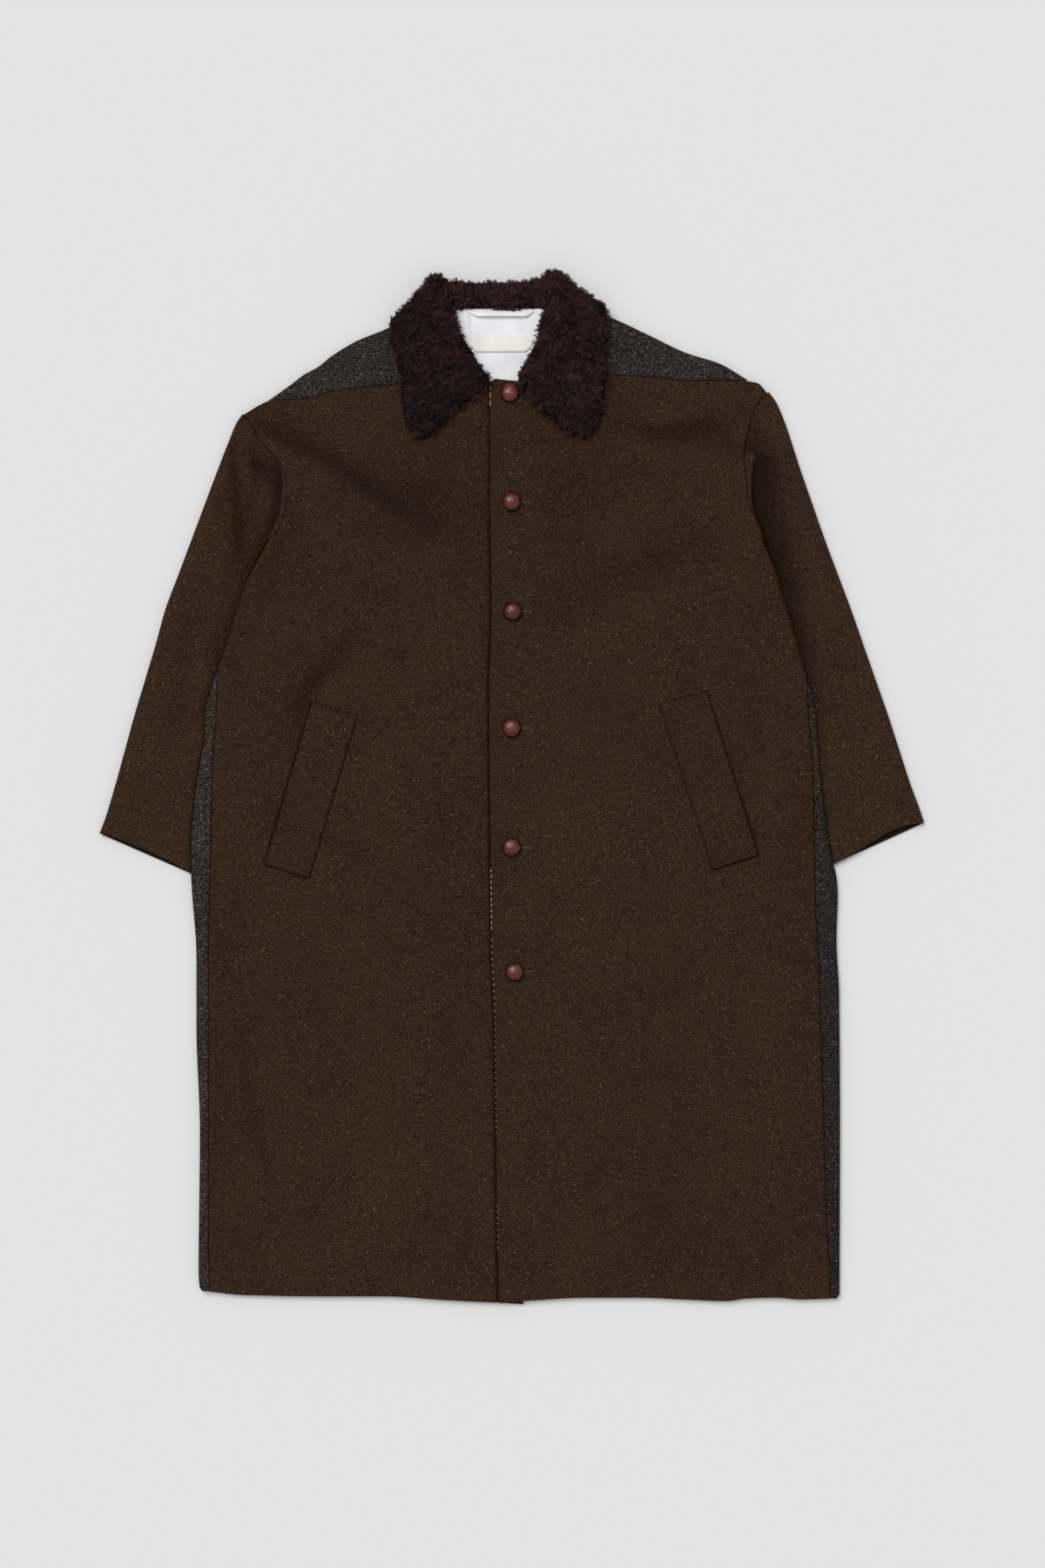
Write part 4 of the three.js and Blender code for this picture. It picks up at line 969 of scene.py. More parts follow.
back = dressed(back_cloth(), "grey_wool", "back")
yoke_right = yoke_cloth(
    "yoke_right_wool", SHOULDER_RIGHT, YOKE_SEAM_RIGHT, LIP_RIGHT, -288, -104, (0.0, 0.26),
)
yoke_left = yoke_cloth(
    "yoke_left_wool", SHOULDER_LEFT, YOKE_SEAM_LEFT, LIP_LEFT, 58, 262, (0.20, 0.04),
)
dressed(yoke_right, "grey_wool", "yoke_right")
dressed(yoke_left, "grey_wool", "yoke_left")

# ---- sleeves ------------------------------------------------------------------------------

SLEEVE_LENGTH = 500  # turns a share of the way down a sleeve into millimetres
CUFF_HEM = 25  # from the cuff's edge to the faint line of its hem
VALLEY = 2.4  # depth of the valley where a sleeve drops from the body
END_GAP = 0.15  # half the gap between the two layers where they meet under the body's edge
# Shares of the way across the upper and the lower layer, and angles round the outer fold and from
# the upper face down to the middle of the inner side.
OVER = np.r_[np.linspace(0, 0.3, 30), np.linspace(0.3, 1, 24)[1:]]
UNDER = np.linspace(0, 1, 10)
FOLD_BENDS = np.linspace(0, math.pi, 13)[1:-1]
END_BENDS = np.linspace(0.18, 1.0, 6) * math.pi / 2


class SleeveCut:
    """A cut across a sleeve at one place, from the body's edge out to the sleeve's fold."""

    def __init__(self, at, inner, fold, outward, crescent):
        self.inner, self.crescent = np.array(inner), crescent
        self.run = np.array(fold) - self.inner
        self.width = math.hypot(*self.run)
        self.wide = max(self.width, 9.0)
        along = self.run / max(self.width, 1e-6)
        self.down = np.array([along[1], -along[0]]) * outward
        self.from_cuff = (1 - at) * SLEEVE_LENGTH
        self.closed = float(smooth(0.36, 0.56, at))
        self.drawn_back = float(smooth(0.86, 1.0, at))
        self.radius = min(SLEEVE_RADIUS, self.width * 0.2)
        self.fold_at = 1 - (self.radius + CLOTH / 2) / self.wide
        self.start = self.closed * (SLEEVE_RADIUS + CLOTH / 2) / self.wide
        self.tuck = self.start - (1 - self.closed) * 1.3 / self.wide
        self.upper = between((self.start, self.fold_at), OVER)[::-1]

    def plan(self, t, share=0.0):
        """Places across the sleeve; a share of the crescent is drawn back from the cuff's line."""
        t = np.asarray(t, float)
        back = self.crescent(np.maximum(t, 0)) * self.drawn_back * share
        return self.inner + self.run * t[..., None] - self.down * back[..., None]

    def under_layer(self, offset, pinch):
        xy = self.plan(between((self.tuck, self.fold_at), UNDER))
        return np.column_stack([xy, np.full(UNDER.size, CLOTH / 2 + offset + pinch)])

    def outer_fold(self, offset):
        t = self.fold_at + (self.radius - offset) * np.sin(FOLD_BENDS) / self.wide
        z = SLEEVE_STACK / 2 - (SLEEVE_RADIUS - offset) * np.cos(FOLD_BENDS)
        return np.column_stack([self.plan(t, FOLD_BENDS / math.pi), z])

    def inner_ends(self, offset, upper_z):
        """Below the underarm both layers turn to the middle of the side and meet there."""
        turn = SLEEVE_RADIUS - offset
        t = self.start - self.closed * turn * np.sin(END_BENDS) / self.wide
        t = t - (1 - self.closed) * 0.05 * END_BENDS / self.width
        low_z = (SLEEVE_STACK / 2 - turn * np.cos(END_BENDS) - END_GAP) * self.closed
        low_z = low_z + (CLOTH / 2 + offset) * (1 - self.closed)
        drop = upper_z - SLEEVE_STACK / 2 - END_GAP
        high_z = upper_z - drop * (1 - np.cos(END_BENDS)) * self.closed
        low = np.column_stack([self.plan(t - (self.start - self.tuck)), low_z])
        return low[::-1], np.column_stack([self.plan(t, 1.0), high_z])

    def layer(self, top, offset):
        """One layer of the cloth all round: below, round the fold, and back over the top."""
        pinch = float(rounding(self.from_cuff, EDGE_ROUND)) * (1 if offset < 0 else -1)
        upper_z = top - offset - pinch
        low_end, high_end = self.inner_ends(offset, upper_z[-1])
        return np.concatenate([
            low_end, self.under_layer(offset, pinch), self.outer_fold(offset),
            np.column_stack([self.plan(self.upper, 1.0), upper_z]), high_end,
        ])


def sleeve_top(folds, painted_shade_bands, strip, edge_shade, armhole, body, armhole_top, reach):
    """Reads the upper layer of a sleeve at a cut: its height and the shade painted on it.

    Beside the armhole a narrow strip of it stays on the body, and then it drops into a valley
    and rises again.
    """
    strip_width = curve(strip)
    shade_amount, shade_reach = curve(edge_shade), curve(edge_shade, 2)

    def read(cut):
        y_in = cut.inner[1]
        inside = ARMHOLE_LOW - 10 < y_in < armhole_top
        low_side = 1 - float(smooth(armhole_top - 14, armhole_top + 14, y_in))
        away = cut.upper * cut.width
        past = away - (float(strip_width(y_in)) if inside else 0.0)
        depth = VALLEY * low_side * float(smooth(-60, 60, y_in))
        dip = depth * smooth(-1.5, 2.2, past) * np.exp(-np.maximum(past - 2.2, 0) / reach)
        ease = smooth(-1.0, 4.5, past) * low_side + smooth(2, 34, away) * (1 - low_side)
        body_top = float(body(np.array(armhole(y_in)), np.array(y_in)))
        on_body = (body_top - SLEEVE_STACK) * (1 - cut.closed) * (1 - ease)
        x, y = cut.plan(cut.upper).T
        rise = fold_rise(folds, x, y) + unevenness(x * 1.3, y * 1.2)
        rise = rise * smooth(0, 14, cut.width - away) * smooth(3, 16, past)
        sewn = 1.1 * mark(away, 1.8) * (1 - cut.closed) + 0.3 * mark(cut.from_cuff - CUFF_HEM, 1.6)
        top = SLEEVE_STACK - CLOTH / 2 + on_body - dip + rise - sewn
        # Painted shade: beside the body's edge, in the listed bands, and along the armhole seam.
        shade = np.exp(-((np.maximum(past, 0) / float(shade_reach(y_in))) ** 2.6)) * (past >= -0.5)
        painted_shade = fold_rise(painted_shade_bands, x, y) + float(shade_amount(y_in)) * shade
        return top, painted_shade + 0.34 * mark(away, 1.3) * (y_in > ARMHOLE_LOW)

    return read


def sleeve(name, outline, outward, armhole, outer, crescent, top_at, material):
    """A sleeve: one cloth folded along its outer edge, open at the cuff."""
    fold_x, fold_y, inner_y = (curve(outline, k) for k in (1, 2, 3))
    cuff_rows = 1 - np.array(ROUNDED[::-1]) / SLEEVE_LENGTH
    before = END_BENDS.size + UNDER.size + FOLD_BENDS.size
    face, lining, painted_shades = [], [], []
    for at in np.r_[np.linspace(0, 0.985, 118), cuff_rows]:
        y_in = float(inner_y(at))
        beside = smooth(UNDERARM - 8, UNDERARM + 8, y_in)
        x_in = float(armhole(y_in) * beside + outer(y_in) * (1 - beside)) + outward * 0.1
        fold = float(fold_x(at)), float(fold_y(at))
        cut = SleeveCut(at, (x_in, y_in), fold, outward, crescent)
        top, painted_shade = top_at(cut)
        face.append(cut.layer(top, -CLOTH / 2))
        lining.append(cut.layer(top, CLOTH / 2))
        # Painted shade lies on the upper layer's face and its inner end only.
        painted_shades.append(np.r_[np.zeros(before), painted_shade, np.full(END_BENDS.size, painted_shade[-1])])
    return wall(name, np.array(face), np.array(lining), material, np.array(painted_shades), shaded_sleeve_lining)


def right_crescent(t):
    """How far the upper layer draws back from the cuff's line, from its inner end to its fold."""
    return 0.6 + 3.7 * np.sin(np.pi * np.clip(t, 0, 1)) ** 0.7


def left_crescent(t):
    return 0.2 + 7.0 * np.sin(np.pi * np.clip(t, 0, 1) ** 1.8) ** 1.1


right_top = sleeve_top(
    FOLDS_RIGHT_SLEEVE, PAINTED_SHADE_RIGHT_SLEEVE, ARMHOLE_TURN_RIGHT, EDGE_SHADE_RIGHT, side_right,
    height_right_front, armhole_top=366, reach=12.0,
)
left_top = sleeve_top(
    FOLDS_LEFT_SLEEVE, PAINTED_SHADE_LEFT_SLEEVE, ARMHOLE_TURN_LEFT, EDGE_SHADE_LEFT, side_left,
    height_left_front, armhole_top=376, reach=20.0,
)
sleeve_right = sleeve(
    "sleeve_right_wool", SLEEVE_RIGHT, -1, side_right, outer_right, right_crescent, right_top,
    brown_right_sleeve,
)
sleeve_left = sleeve(
    "sleeve_left_wool", SLEEVE_LEFT, 1, side_left, outer_left, left_crescent, left_top,
    brown_left_sleeve,
)
dressed(sleeve_right, "brown_wool", "sleeve_right")
dressed(sleeve_left, "brown_wool", "sleeve_left")

# ---- collar -------------------------------------------------------------------------------

# Each leaf's edges: the outer one up from its tip, the inner one up from its neck end.
LEAF_RIGHT = {
    "outer": [
        (-115, 390), (-128, 403), (-135, 425), (-136, 450), (-143, 485), (-151, 518), (-152, 530),
        (-148, 536), (-136, 546), (-126, 557), (-117, 565), (-102, 582),
    ],
    "inner": [
        (-27, 457), (-33, 468), (-45, 485), (-57, 505), (-67, 521), (-72, 541), (-78, 559),
        (-84, 578),
    ],
    "lower": [(-27, 457), (-56, 438), (-80, 416), (-98, 398), (-115, 390)],
    "upper": [(-84, 578), (-95, 586), (-102, 582)],
}
LEAF_LEFT = {
    "outer": [
        (78, 393), (91, 404), (98, 425), (101, 452), (104, 500), (105, 536), (102, 549), (93, 555),
        (79, 564), (67, 572), (55, 582), (46, 587),
    ],
    "inner": [
        (1, 450), (-4, 467), (5, 483), (13, 498), (19, 511), (22, 529), (26, 542), (28.5, 557),
        (28, 583),
    ],
    "lower": [(1, 450), (18, 431), (36, 416), (54, 402), (78, 393)],
    "upper": [(28, 583), (34, 590), (46, 587)],
}
STAND_NECK = [(-76, 543.5), (-45, 544.5), (-23, 544), (5, 544.5), (34, 543.5)]
STAND_RIGHT_END = [(-76, 543.5), (-86, 559), (-93, 576)]
STAND_LEFT_END = [(34, 543.5), (37, 557), (38, 584)]
STAND_TOP = [(-93, 576), (-71, 579), (-56, 576), (-23, 576.5), (8, 578), (20, 581), (38, 584)]


PILE_DEPTH = 2.6  # of a pad at its rim
LOCK_STRANDS = 11
STRAND_RINGS = 4


def path_along(points):
    """A smooth path through points, read from 0 to 1 by the length along it."""
    points = np.array(points, float)
    along = np.r_[0, np.cumsum(np.hypot(*np.diff(points, axis=0).T))]
    along /= along[-1]
    x = curve(np.column_stack([along, points[:, 0]]))
    y = curve(np.column_stack([along, points[:, 1]]))
    return lambda t: (x(t), y(t))


def pile_bumps(x, y, size=5.2):
    """The uneven clumps that curled pile gathers into."""
    x, y = x / size, y / size
    broad = np.sin(x + 1.7 * np.sin(y / 1.3)) * np.sin(y * 1.1 + 1.4 * np.sin(x / 1.6 + 2))
    small = np.sin(x * 2.3 + 2.1 * np.sin(y * 1.7)) * np.sin(y * 2.1)
    return 0.7 * broad + 0.3 * small


def pile_pad(name, plan, base, crown, inset):
    """A soft closed pad over a plan grid, from its underside up to its crown."""
    x, y = plan
    middle = x.mean(), y.mean()
    rows, columns = x.shape
    across = np.hypot(x[:, -1] - x[:, 0], y[:, -1] - y[:, 0]).mean()
    along = np.hypot(x[-1] - x[0], y[-1] - y[0]).mean()
    x = middle[0] + (x - middle[0]) * (1 - 2 * inset / across)
    y = middle[1] + (y - middle[1]) * (1 - 2 * inset / along)
    u, v = np.meshgrid(np.linspace(0, 1, columns), np.linspace(0, 1, rows))
    rim = np.minimum(np.minimum(u, 1 - u) * across, np.minimum(v, 1 - v) * along)
    low, high = base(x, y), crown(x, y)
    swell = 1 - np.exp(-((rim / 4.2) ** 1.2))
    top = low + PILE_DEPTH + (high - low - PILE_DEPTH + pile_bumps(x, y) * 0.9) * swell
    face = np.stack([x, y, top], axis=-1)
    under = np.stack([x, y, low], axis=-1)
    return wall(name, face, under, pile), face, rim


def pad_reader(face):
    """Reads a place on a pad from its two shares, within the grid square round it."""
    rows, columns = face.shape[:2]

    def read(u, v):
        gu, gv = u * (columns - 1), v * (rows - 1)
        i, j = np.minimum(gu.astype(int), columns - 2), np.minimum(gv.astype(int), rows - 2)
        fu, fv = (gu - i)[:, None], (gv - j)[:, None]
        corner = face[j, i] * (1 - fu) * (1 - fv) + face[j, i + 1] * fu * (1 - fv)
        return corner + face[j + 1, i] * (1 - fu) * fv + face[j + 1, i + 1] * fu * fv

    return read


def strand_faces(count):
    """Faces of that many three-sided strands: their sides, then their tips and closed roots."""
    last = STRAND_RINGS * 3
    sides = []
    for ring in range(STRAND_RINGS - 1):
        for k in range(3):
            a, b = ring * 3 + k, ring * 3 + (k + 1) % 3
            sides.append((a, b, b + 3, a + 3))
    ends = [(last - 3 + k, last - 3 + (k + 1) % 3, last) for k in range(3)] + [(2, 1, 0)]
    first = (np.arange(count) * (last + 1))[:, None, None]
    all_sides = (np.array(sides) + first).reshape(-1, 4)
    all_ends = (np.array(ends) + first).reshape(-1, 3)
    return all_sides.tolist() + all_ends.tolist()


def strand_points(rng, spine, aside, t):
    """Points of three-sided strands round their spines, thinning to a tip."""
    n = len(spine)
    thick = rng.uniform(0.38, 0.58, n)[:, None] * np.sqrt(np.clip(1 - t[:-1], 0, 1)) ** 0.8
    ring_angle = np.arange(3) * 2 * math.pi / 3 + rng.uniform(0, 2, n)[:, None]
    side = np.concatenate([aside, np.zeros((n, 1))], axis=-1)
    up = np.array([0.0, 0.0, 1.0])
    offset = np.cos(ring_angle)[..., None] * side[:, None] + np.sin(ring_angle)[..., None] * up
    body = spine[:, :-1, None] + offset[:, None] * thick[:, :, None, None]
    return np.concatenate([body.reshape(n, -1, 3), spine[:, -1:]], axis=1)


def pile_locks(name, face, rim, heading, spacing, length, seed, paler, contrast):
    """Curled locks over a pad: each is a clump of fine strands that meet near its tip."""
    rng = np.random.default_rng(seed)
    rows, columns = rim.shape
    size_u = np.linalg.norm(np.diff(face[:, :, :2], axis=1), axis=-1).sum(axis=1).mean()
    size_v = np.linalg.norm(np.diff(face[:, :, :2], axis=0), axis=-1).sum(axis=0).mean()
    nu, nv = int(size_u / spacing), int(size_v / spacing)
    u, v = np.meshgrid((np.arange(nu) + 0.5) / nu, (np.arange(nv) + 0.5) / nv)
    u = np.clip(u.ravel() + rng.normal(0, 0.4 / nu, u.size), 0.004, 0.996)
    v = np.clip(v.ravel() + rng.normal(0, 0.4 / nv, v.size), 0.004, 0.996)
    on_pad, count = pad_reader(face), u.size
    at = on_pad(u, v)
    depth = rim[np.round(v * (rows - 1)).astype(int), np.round(u * (columns - 1)).astype(int)]
    aim = heading(at[:, 0], at[:, 1], depth) + rng.normal(0, math.radians(42), count)
    reach = length * rng.uniform(0.72, 1.22, count)
    lift = rng.uniform(1.4, 4.2, count)
    phase = rng.uniform(0, 2 * math.pi, count)
    turns = rng.uniform(0.7, 1.25, count)
    clump_tone = rng.normal(0, 0.15, count)

    own = np.repeat(np.arange(count), LOCK_STRANDS)
    n = own.size
    spread_u = np.clip(u[own] + rng.normal(0, 0.46 / nu, n), 0.002, 0.998)
    spread_v = np.clip(v[own] + rng.normal(0, 0.46 / nv, n), 0.002, 0.998)
    root = on_pad(spread_u, spread_v)
    direction = aim[own] + rng.normal(0, 0.22, n)
    far = reach[own] * rng.uniform(0.75, 1.12, n)
    t = np.linspace(0, 1, STRAND_RINGS + 1)
    ahead = np.stack([np.cos(direction), np.sin(direction)], axis=-1)
    aside = np.stack([-ahead[:, 1], ahead[:, 0]], axis=-1)
    gather = (at[own] - root)[:, :2] * 0.85
    sway = 1.1 * np.sin(phase[own][:, None] + 2 * math.pi * turns[own][:, None] * t)
    sway -= sway[:, :1]
    plan = root[:, None, :2] + ahead[:, None] * (far[:, None] * t)[..., None]
    plan = plan + aside[:, None] * sway[..., None] + gather[:, None] * (t**1.5)[None, :, None]
    rise = lift[own] * rng.uniform(0.7, 1.15, n)
    height = root[:, 2, None] - 0.7 + rise[:, None] * np.sin(t * math.pi * 0.62)
    spine = np.concatenate([plan, height[..., None]], axis=-1)
    points = strand_points(rng, spine, aside, t)
    piece = new_piece(name, points.reshape(-1, 3), strand_faces(n), pile)
    strand_tone = 0.14 + paler + contrast * (clump_tone[own] + rng.normal(0, 0.12, n))
    # Painted shade and light along each strand: darker at the root, deep in the pile, and paler towards
    # the tip.
    light = strand_tone[:, None] + 0.5 * contrast * t[None] ** 1.4
    tone = np.concatenate([np.repeat(light[:, :-1], 3, axis=1), light[:, -1:]], axis=1)
    store = piece.data.attributes.new("tone", "FLOAT", "POINT")
    store.data.foreach_set("value", np.clip(tone, 0, 1).ravel().astype(np.float32))
    return piece


def leaf_base(x, y):
    """The collar lies on the right front, and higher where it lies on the over-lap."""
    return np.full(np.shape(x), 10.2) + 1.4 * smooth(-36, 20, x)


def leaf_crown(x, y):
    return leaf_base(x, y) + 6.8 + 1.6 * smooth(395, 470, y)


def leaf(name, edges, seed, comb, paler):
    u, v = np.linspace(0, 1, 36), np.linspace(0, 1, 52)
    sides = (path_along(edges[side]) for side in ("inner", "outer", "lower", "upper"))
    plan = patch(u, v, *sides)
    pad, face, rim = pile_pad(name + "_core", plan, leaf_base, leaf_crown, inset=2.6)
    middle = face[:, :, 0].mean(), face[:, :, 1].mean()

    def heading(x, y, depth):
        """Down the leaf in its middle, and out past its edge along its rim."""
        out = np.stack([x - middle[0], (y - middle[1]) * 0.7], axis=-1)
        out = out / np.maximum(np.linalg.norm(out, axis=-1, keepdims=True), 1e-6)
        edge = (1 - smooth(3, 13, depth))[:, None]
        flow = np.array([comb, -0.8]) + 0.5 * np.stack([np.sin(y / 13), np.cos(x / 11)], axis=-1)
        aim = flow * (1 - edge) + out * edge * 1.1
        return np.arctan2(aim[:, 1], aim[:, 0])

    locks = pile_locks(
        name + "_pile", face, rim, heading,
        spacing=4.1, length=5.9, seed=seed, paler=paler, contrast=0.92,
    )
    return pad, locks


def stand_base(x, y):
    return 1.0 + 8.0 * smooth(548, 580, y)


def stand_crown(x, y):
    return 10.5 + 8.5 * smooth(543, 580, y)


def stand_heading(x, y, depth):
    """Across the stand at its foot, and straight up at its top."""
    up = smooth(556, 572, y)
    return math.pi / 2 * up + (1 - up) * (math.pi * 0.15 + 1.2 * np.sin(x / 9))


def stand():
    u, v = np.linspace(0, 1, 44), np.linspace(0, 1, 20)
    ends = path_along(STAND_RIGHT_END), path_along(STAND_LEFT_END)
    plan = patch(u, v, *ends, path_along(STAND_NECK), path_along(STAND_TOP))
    pad, face, rim = pile_pad("collar_stand_core", plan, stand_base, stand_crown, inset=1.4)
    locks = pile_locks(
        "collar_stand_pile", face, rim, stand_heading,
        spacing=3.6, length=4.6, seed=SEED + 3, paler=0.40, contrast=0.50,
    )
    return pad, locks


leaf_right, leaf_right_pile = leaf(
    "collar_right_leaf", LEAF_RIGHT, SEED + 1, comb=-0.5, paler=-0.04,
)
leaf_left, leaf_left_pile = leaf(
    "collar_left_leaf", LEAF_LEFT, SEED + 2, comb=0.5, paler=0.07,
)
collar_stand, collar_stand_pile = stand()
dressed(leaf_right, "pile", "collar")
for part in (leaf_right_pile, leaf_left, leaf_left_pile, collar_stand, collar_stand_pile):
    dressed(part, "pile")

# ---- neck ---------------------------------------------------------------------------------

LINING_FACE = 4.4  # lowest height of the lining's face
NECK_LOW, NECK_HIGH = 461.5, 546.0
NECK_MIDDLE = -23


def lining_height(x, y):
    """The lining hollows in the middle, rises to the collar and has a crease near its right end."""
    dish = 3.4 * (np.abs(x - NECK_MIDDLE) / 62) ** 2.4
    crease = 1.9 * mark(x + 61 + (y - 540) * 0.12, 3.2) * smooth(500, 530, y)
    dip = -1.0 * mark(x + 54, 4.0) * smooth(495, 535, y)
    sway = 0.25 * np.sin(x / 9 + y / 23) + 0.2 * np.sin(y / 11 - x / 17)
    return LINING_FACE + dish + crease + dip + sway * smooth(461, 480, y)


def neck_lining():
    u, v = np.linspace(0, 1, 60), np.linspace(0, 1, 44)
    y = between((NECK_LOW, NECK_HIGH), np.repeat(v[:, None], u.size, axis=1))
    narrow = 1 - smooth(461, 530, y)
    left, right = -92 + 26 * narrow, 48 - 26 * narrow
    x = left + (right - left) * u[None]
    z = lining_height(x, y)
    face = np.stack([x, y, z], axis=-1)
    under = np.stack([x, y, z - 1.1], axis=-1)
    return wall("neck_lining_cloth", face, under, white_lining)


def tape_strip(name, edges, height, thickness, material, across=7):
    """A flat tape between two edges, following a height above the lining."""
    first, second = (np.array(e, float) for e in edges)
    w = np.linspace(0, 1, across)[:, None, None]
    plan = first[None] * (1 - w) + second[None] * w
    x, y = plan[..., 0], plan[..., 1]
    z = height(x, y, np.broadcast_to(w[..., 0], x.shape))
    place = w[..., 0] * (across - 1)
    lip = 0.28 * (mark(place, 1) + mark(across - 1 - place, 1))
    face = np.stack([x, y, z - lip * thickness], axis=-1)
    under = np.stack([x, y, z - thickness], axis=-1)
    return wall(name, face, under, material)


def hanger_loop():
    """A folded tape, sewn at both ends, that sags a little between them."""
    along = np.linspace(0, 1, 49)
    x = -59.5 + 76 * along
    sag = smooth(0, 0.16, along) * (1 - smooth(0.86, 1, along))
    upper = np.column_stack([x, np.full_like(x, 544.5) - 0.5 * sag])
    lower = np.column_stack([x + 0.8, 541.4 - 4.3 * sag])

    def raised(x, y, w):
        between_ends = np.interp(x, [-59, -48, 8, 16], [0, 1, 1, 0])
        return lining_height(x, y) + 1.5 + (0.6 + 3.2 * w) * between_ends

    return tape_strip("hanger_loop_tape", (upper, lower), raised, 0.9, white_tape)


def neck_label():
    """A woven label with its two lower corners cut; its field is left blank."""
    x = np.linspace(-58, 15.5, 49)
    ends = [-58, -49, 8, 15.5]
    upper = np.column_stack([x, np.interp(x, ends, [507.0, 514, 514, 507.0])])
    lower = np.column_stack([x, np.interp(x, ends, [505.8, 496.5, 496.5, 505.8])])

    def raised(x, y, w):
        return lining_height(x, y) + 0.7 + 0.9 * w

    return tape_strip("neck_label_tape", (upper, lower), raised, 0.5, cream_tape, 9)


lining = dressed(neck_lining(), "lining", "neck_lining")
loop = dressed(hanger_loop(), "lining", "hanger_loop")
label = dressed(neck_label(), "tape", "neck_label")

# ---- welts --------------------------------------------------------------------------------

WELT_CLOTH = 2.4
WELT_ROW = 2.9  # from each end of a welt to its row of stitching
WELT_EDGE = (0, 0.3, 0.8, 1.5, 2.3, 2.9, 3.5, 5.0)
WELT_MOUTH = (0, 0.3, 0.8, 1.5, 2.5, 4.0)


def welt(name, corners, surface, node):
    """A welt: sewn along its inner edge and across both ends, open along its outer edge."""
    sewn_top, sewn_low, mouth_low, mouth_top = (np.array(c, float) for c in corners)
    length = np.linalg.norm(sewn_top - sewn_low)
    width = np.linalg.norm(mouth_low - sewn_low)
    across, down = np.meshgrid(
        spread(width, 3.4, WELT_EDGE, WELT_MOUTH), spread(length, 3.6, WELT_EDGE, WELT_EDGE),
    )
    top = between((sewn_top, mouth_top), across[..., None])
    low = between((sewn_low, mouth_low), across[..., None])
    plan = between((top, low), down[..., None])
    x, y = plan[..., 0], plan[..., 1]
    from_sewn, from_mouth = across * width, (1 - across) * width
    from_ends = np.minimum(down, 1 - down) * length
    level = surface(x, y) + 0.1
    sunk = 1.5 * mark(from_sewn, 1.3) + 0.9 * mark(from_ends, 1.1)
    row = mark(from_ends - WELT_ROW, 0.7)
    gape = 0.9 * mark(from_mouth, 9) * np.sin(np.pi * down) ** 0.7
    edge = rounding(from_mouth, 1.1)
    soft = unevenness(x * 2.1, y * 1.4) * 0.35
    face_z = level + WELT_CLOTH + gape + soft - sunk - 0.35 * row - edge
    under_z = level + gape * 0.8 - np.minimum(sunk, 0.4) + edge * 0.6
    face, under = np.stack([x, y, face_z], axis=-1), np.stack([x, y, under_z], axis=-1)
    # Painted shade: darker all over, and more along the sewn edge, the ends, the rows of stitching and
    # the open mouth.
    painted_shade = 1.3 * FRONT_PAINTED_SHADE + 0.34 * mark((1 - down) * length, 1.3) + 0.16 * row
    painted_shade = painted_shade + 0.30 * mark(from_sewn, 1.1) + 0.24 * mark(from_ends, 1.0)
    painted_shade = painted_shade + 0.30 * mark(from_mouth, 0.7)
    painted_shade = painted_shade + 0.14 * mark(from_ends - 7.5, 1.1) * (down > 0.5)
    piece = wall(name, face, under, brown_body, painted_shade)
    return dressed(piece, "brown_wool", node)


welt_right = welt("welt_right_wool", WELT_RIGHT, height_right_front, "welt_right")
welt_left = welt("welt_left_wool", WELT_LEFT, height_left_front, "welt_left")

# ---- buttons ------------------------------------------------------------------------------

BUTTON_RADIUS = 11.0
DOME_HEIGHT = 7.0  # above the widest ring
FOOT_DEPTH = 0.18  # of the radius, below the widest ring, before the sphere is pressed lower
QUARTER_SEAM = 0.42  # half the width of a seam between two quarters
QUARTER_SINK = 0.5


def button_dome():
    """A dome on a flat foot, cut from a sphere and pressed lower."""
    bpy.ops.object.select_all(action="DESELECT")
    bpy.ops.mesh.primitive_uv_sphere_add(
        segments=32, ring_count=20, radius=BUTTON_RADIUS * MM, location=(0, 0, 0),
    )
    bpy.ops.object.mode_set(mode="EDIT")
    bpy.ops.mesh.select_all(action="SELECT")
    bpy.ops.mesh.bisect(
        plane_co=(0, 0, -FOOT_DEPTH * BUTTON_RADIUS * MM), plane_no=(0, 0, 1), clear_inner=True,
        use_fill=True,
    )
    bpy.ops.mesh.select_all(action="SELECT")
    bpy.ops.transform.resize(value=(1, 1, DOME_HEIGHT / BUTTON_RADIUS), center_override=(0, 0, 0))
    bpy.ops.object.mode_set(mode="OBJECT")
    return bpy.context.object


def press_quarter_seams(mesh):
    """Widens each edge line between two quarters of the dome, then presses it in."""
    for edge in mesh.edges:
        a, b = (mesh.vertices[k].co for k in edge.vertices)
        on_seam = max(abs(a.x), abs(b.x)) < 1e-6 or max(abs(a.y), abs(b.y)) < 1e-6
        edge.select = on_seam and min(a.z, b.z) > -1e-4
    for part in (*mesh.vertices, *mesh.polygons):
        part.select = False
    bpy.ops.object.mode_set(mode="EDIT")
    bpy.ops.mesh.select_mode(type="EDGE")
    bpy.ops.mesh.bevel(offset=QUARTER_SEAM * MM, segments=2, affect="EDGES")
    bpy.ops.mesh.select_all(action="SELECT")
    bpy.ops.mesh.remove_doubles(threshold=0.02 * MM)
    bpy.ops.object.mode_set(mode="OBJECT")
    for vertex in mesh.vertices:
        from_seam = min(abs(vertex.co.x), abs(vertex.co.y)) / MM
        if from_seam < 0.12 and vertex.co.z > -1e-4:
            vertex.co *= 1 - QUARTER_SINK / BUTTON_RADIUS


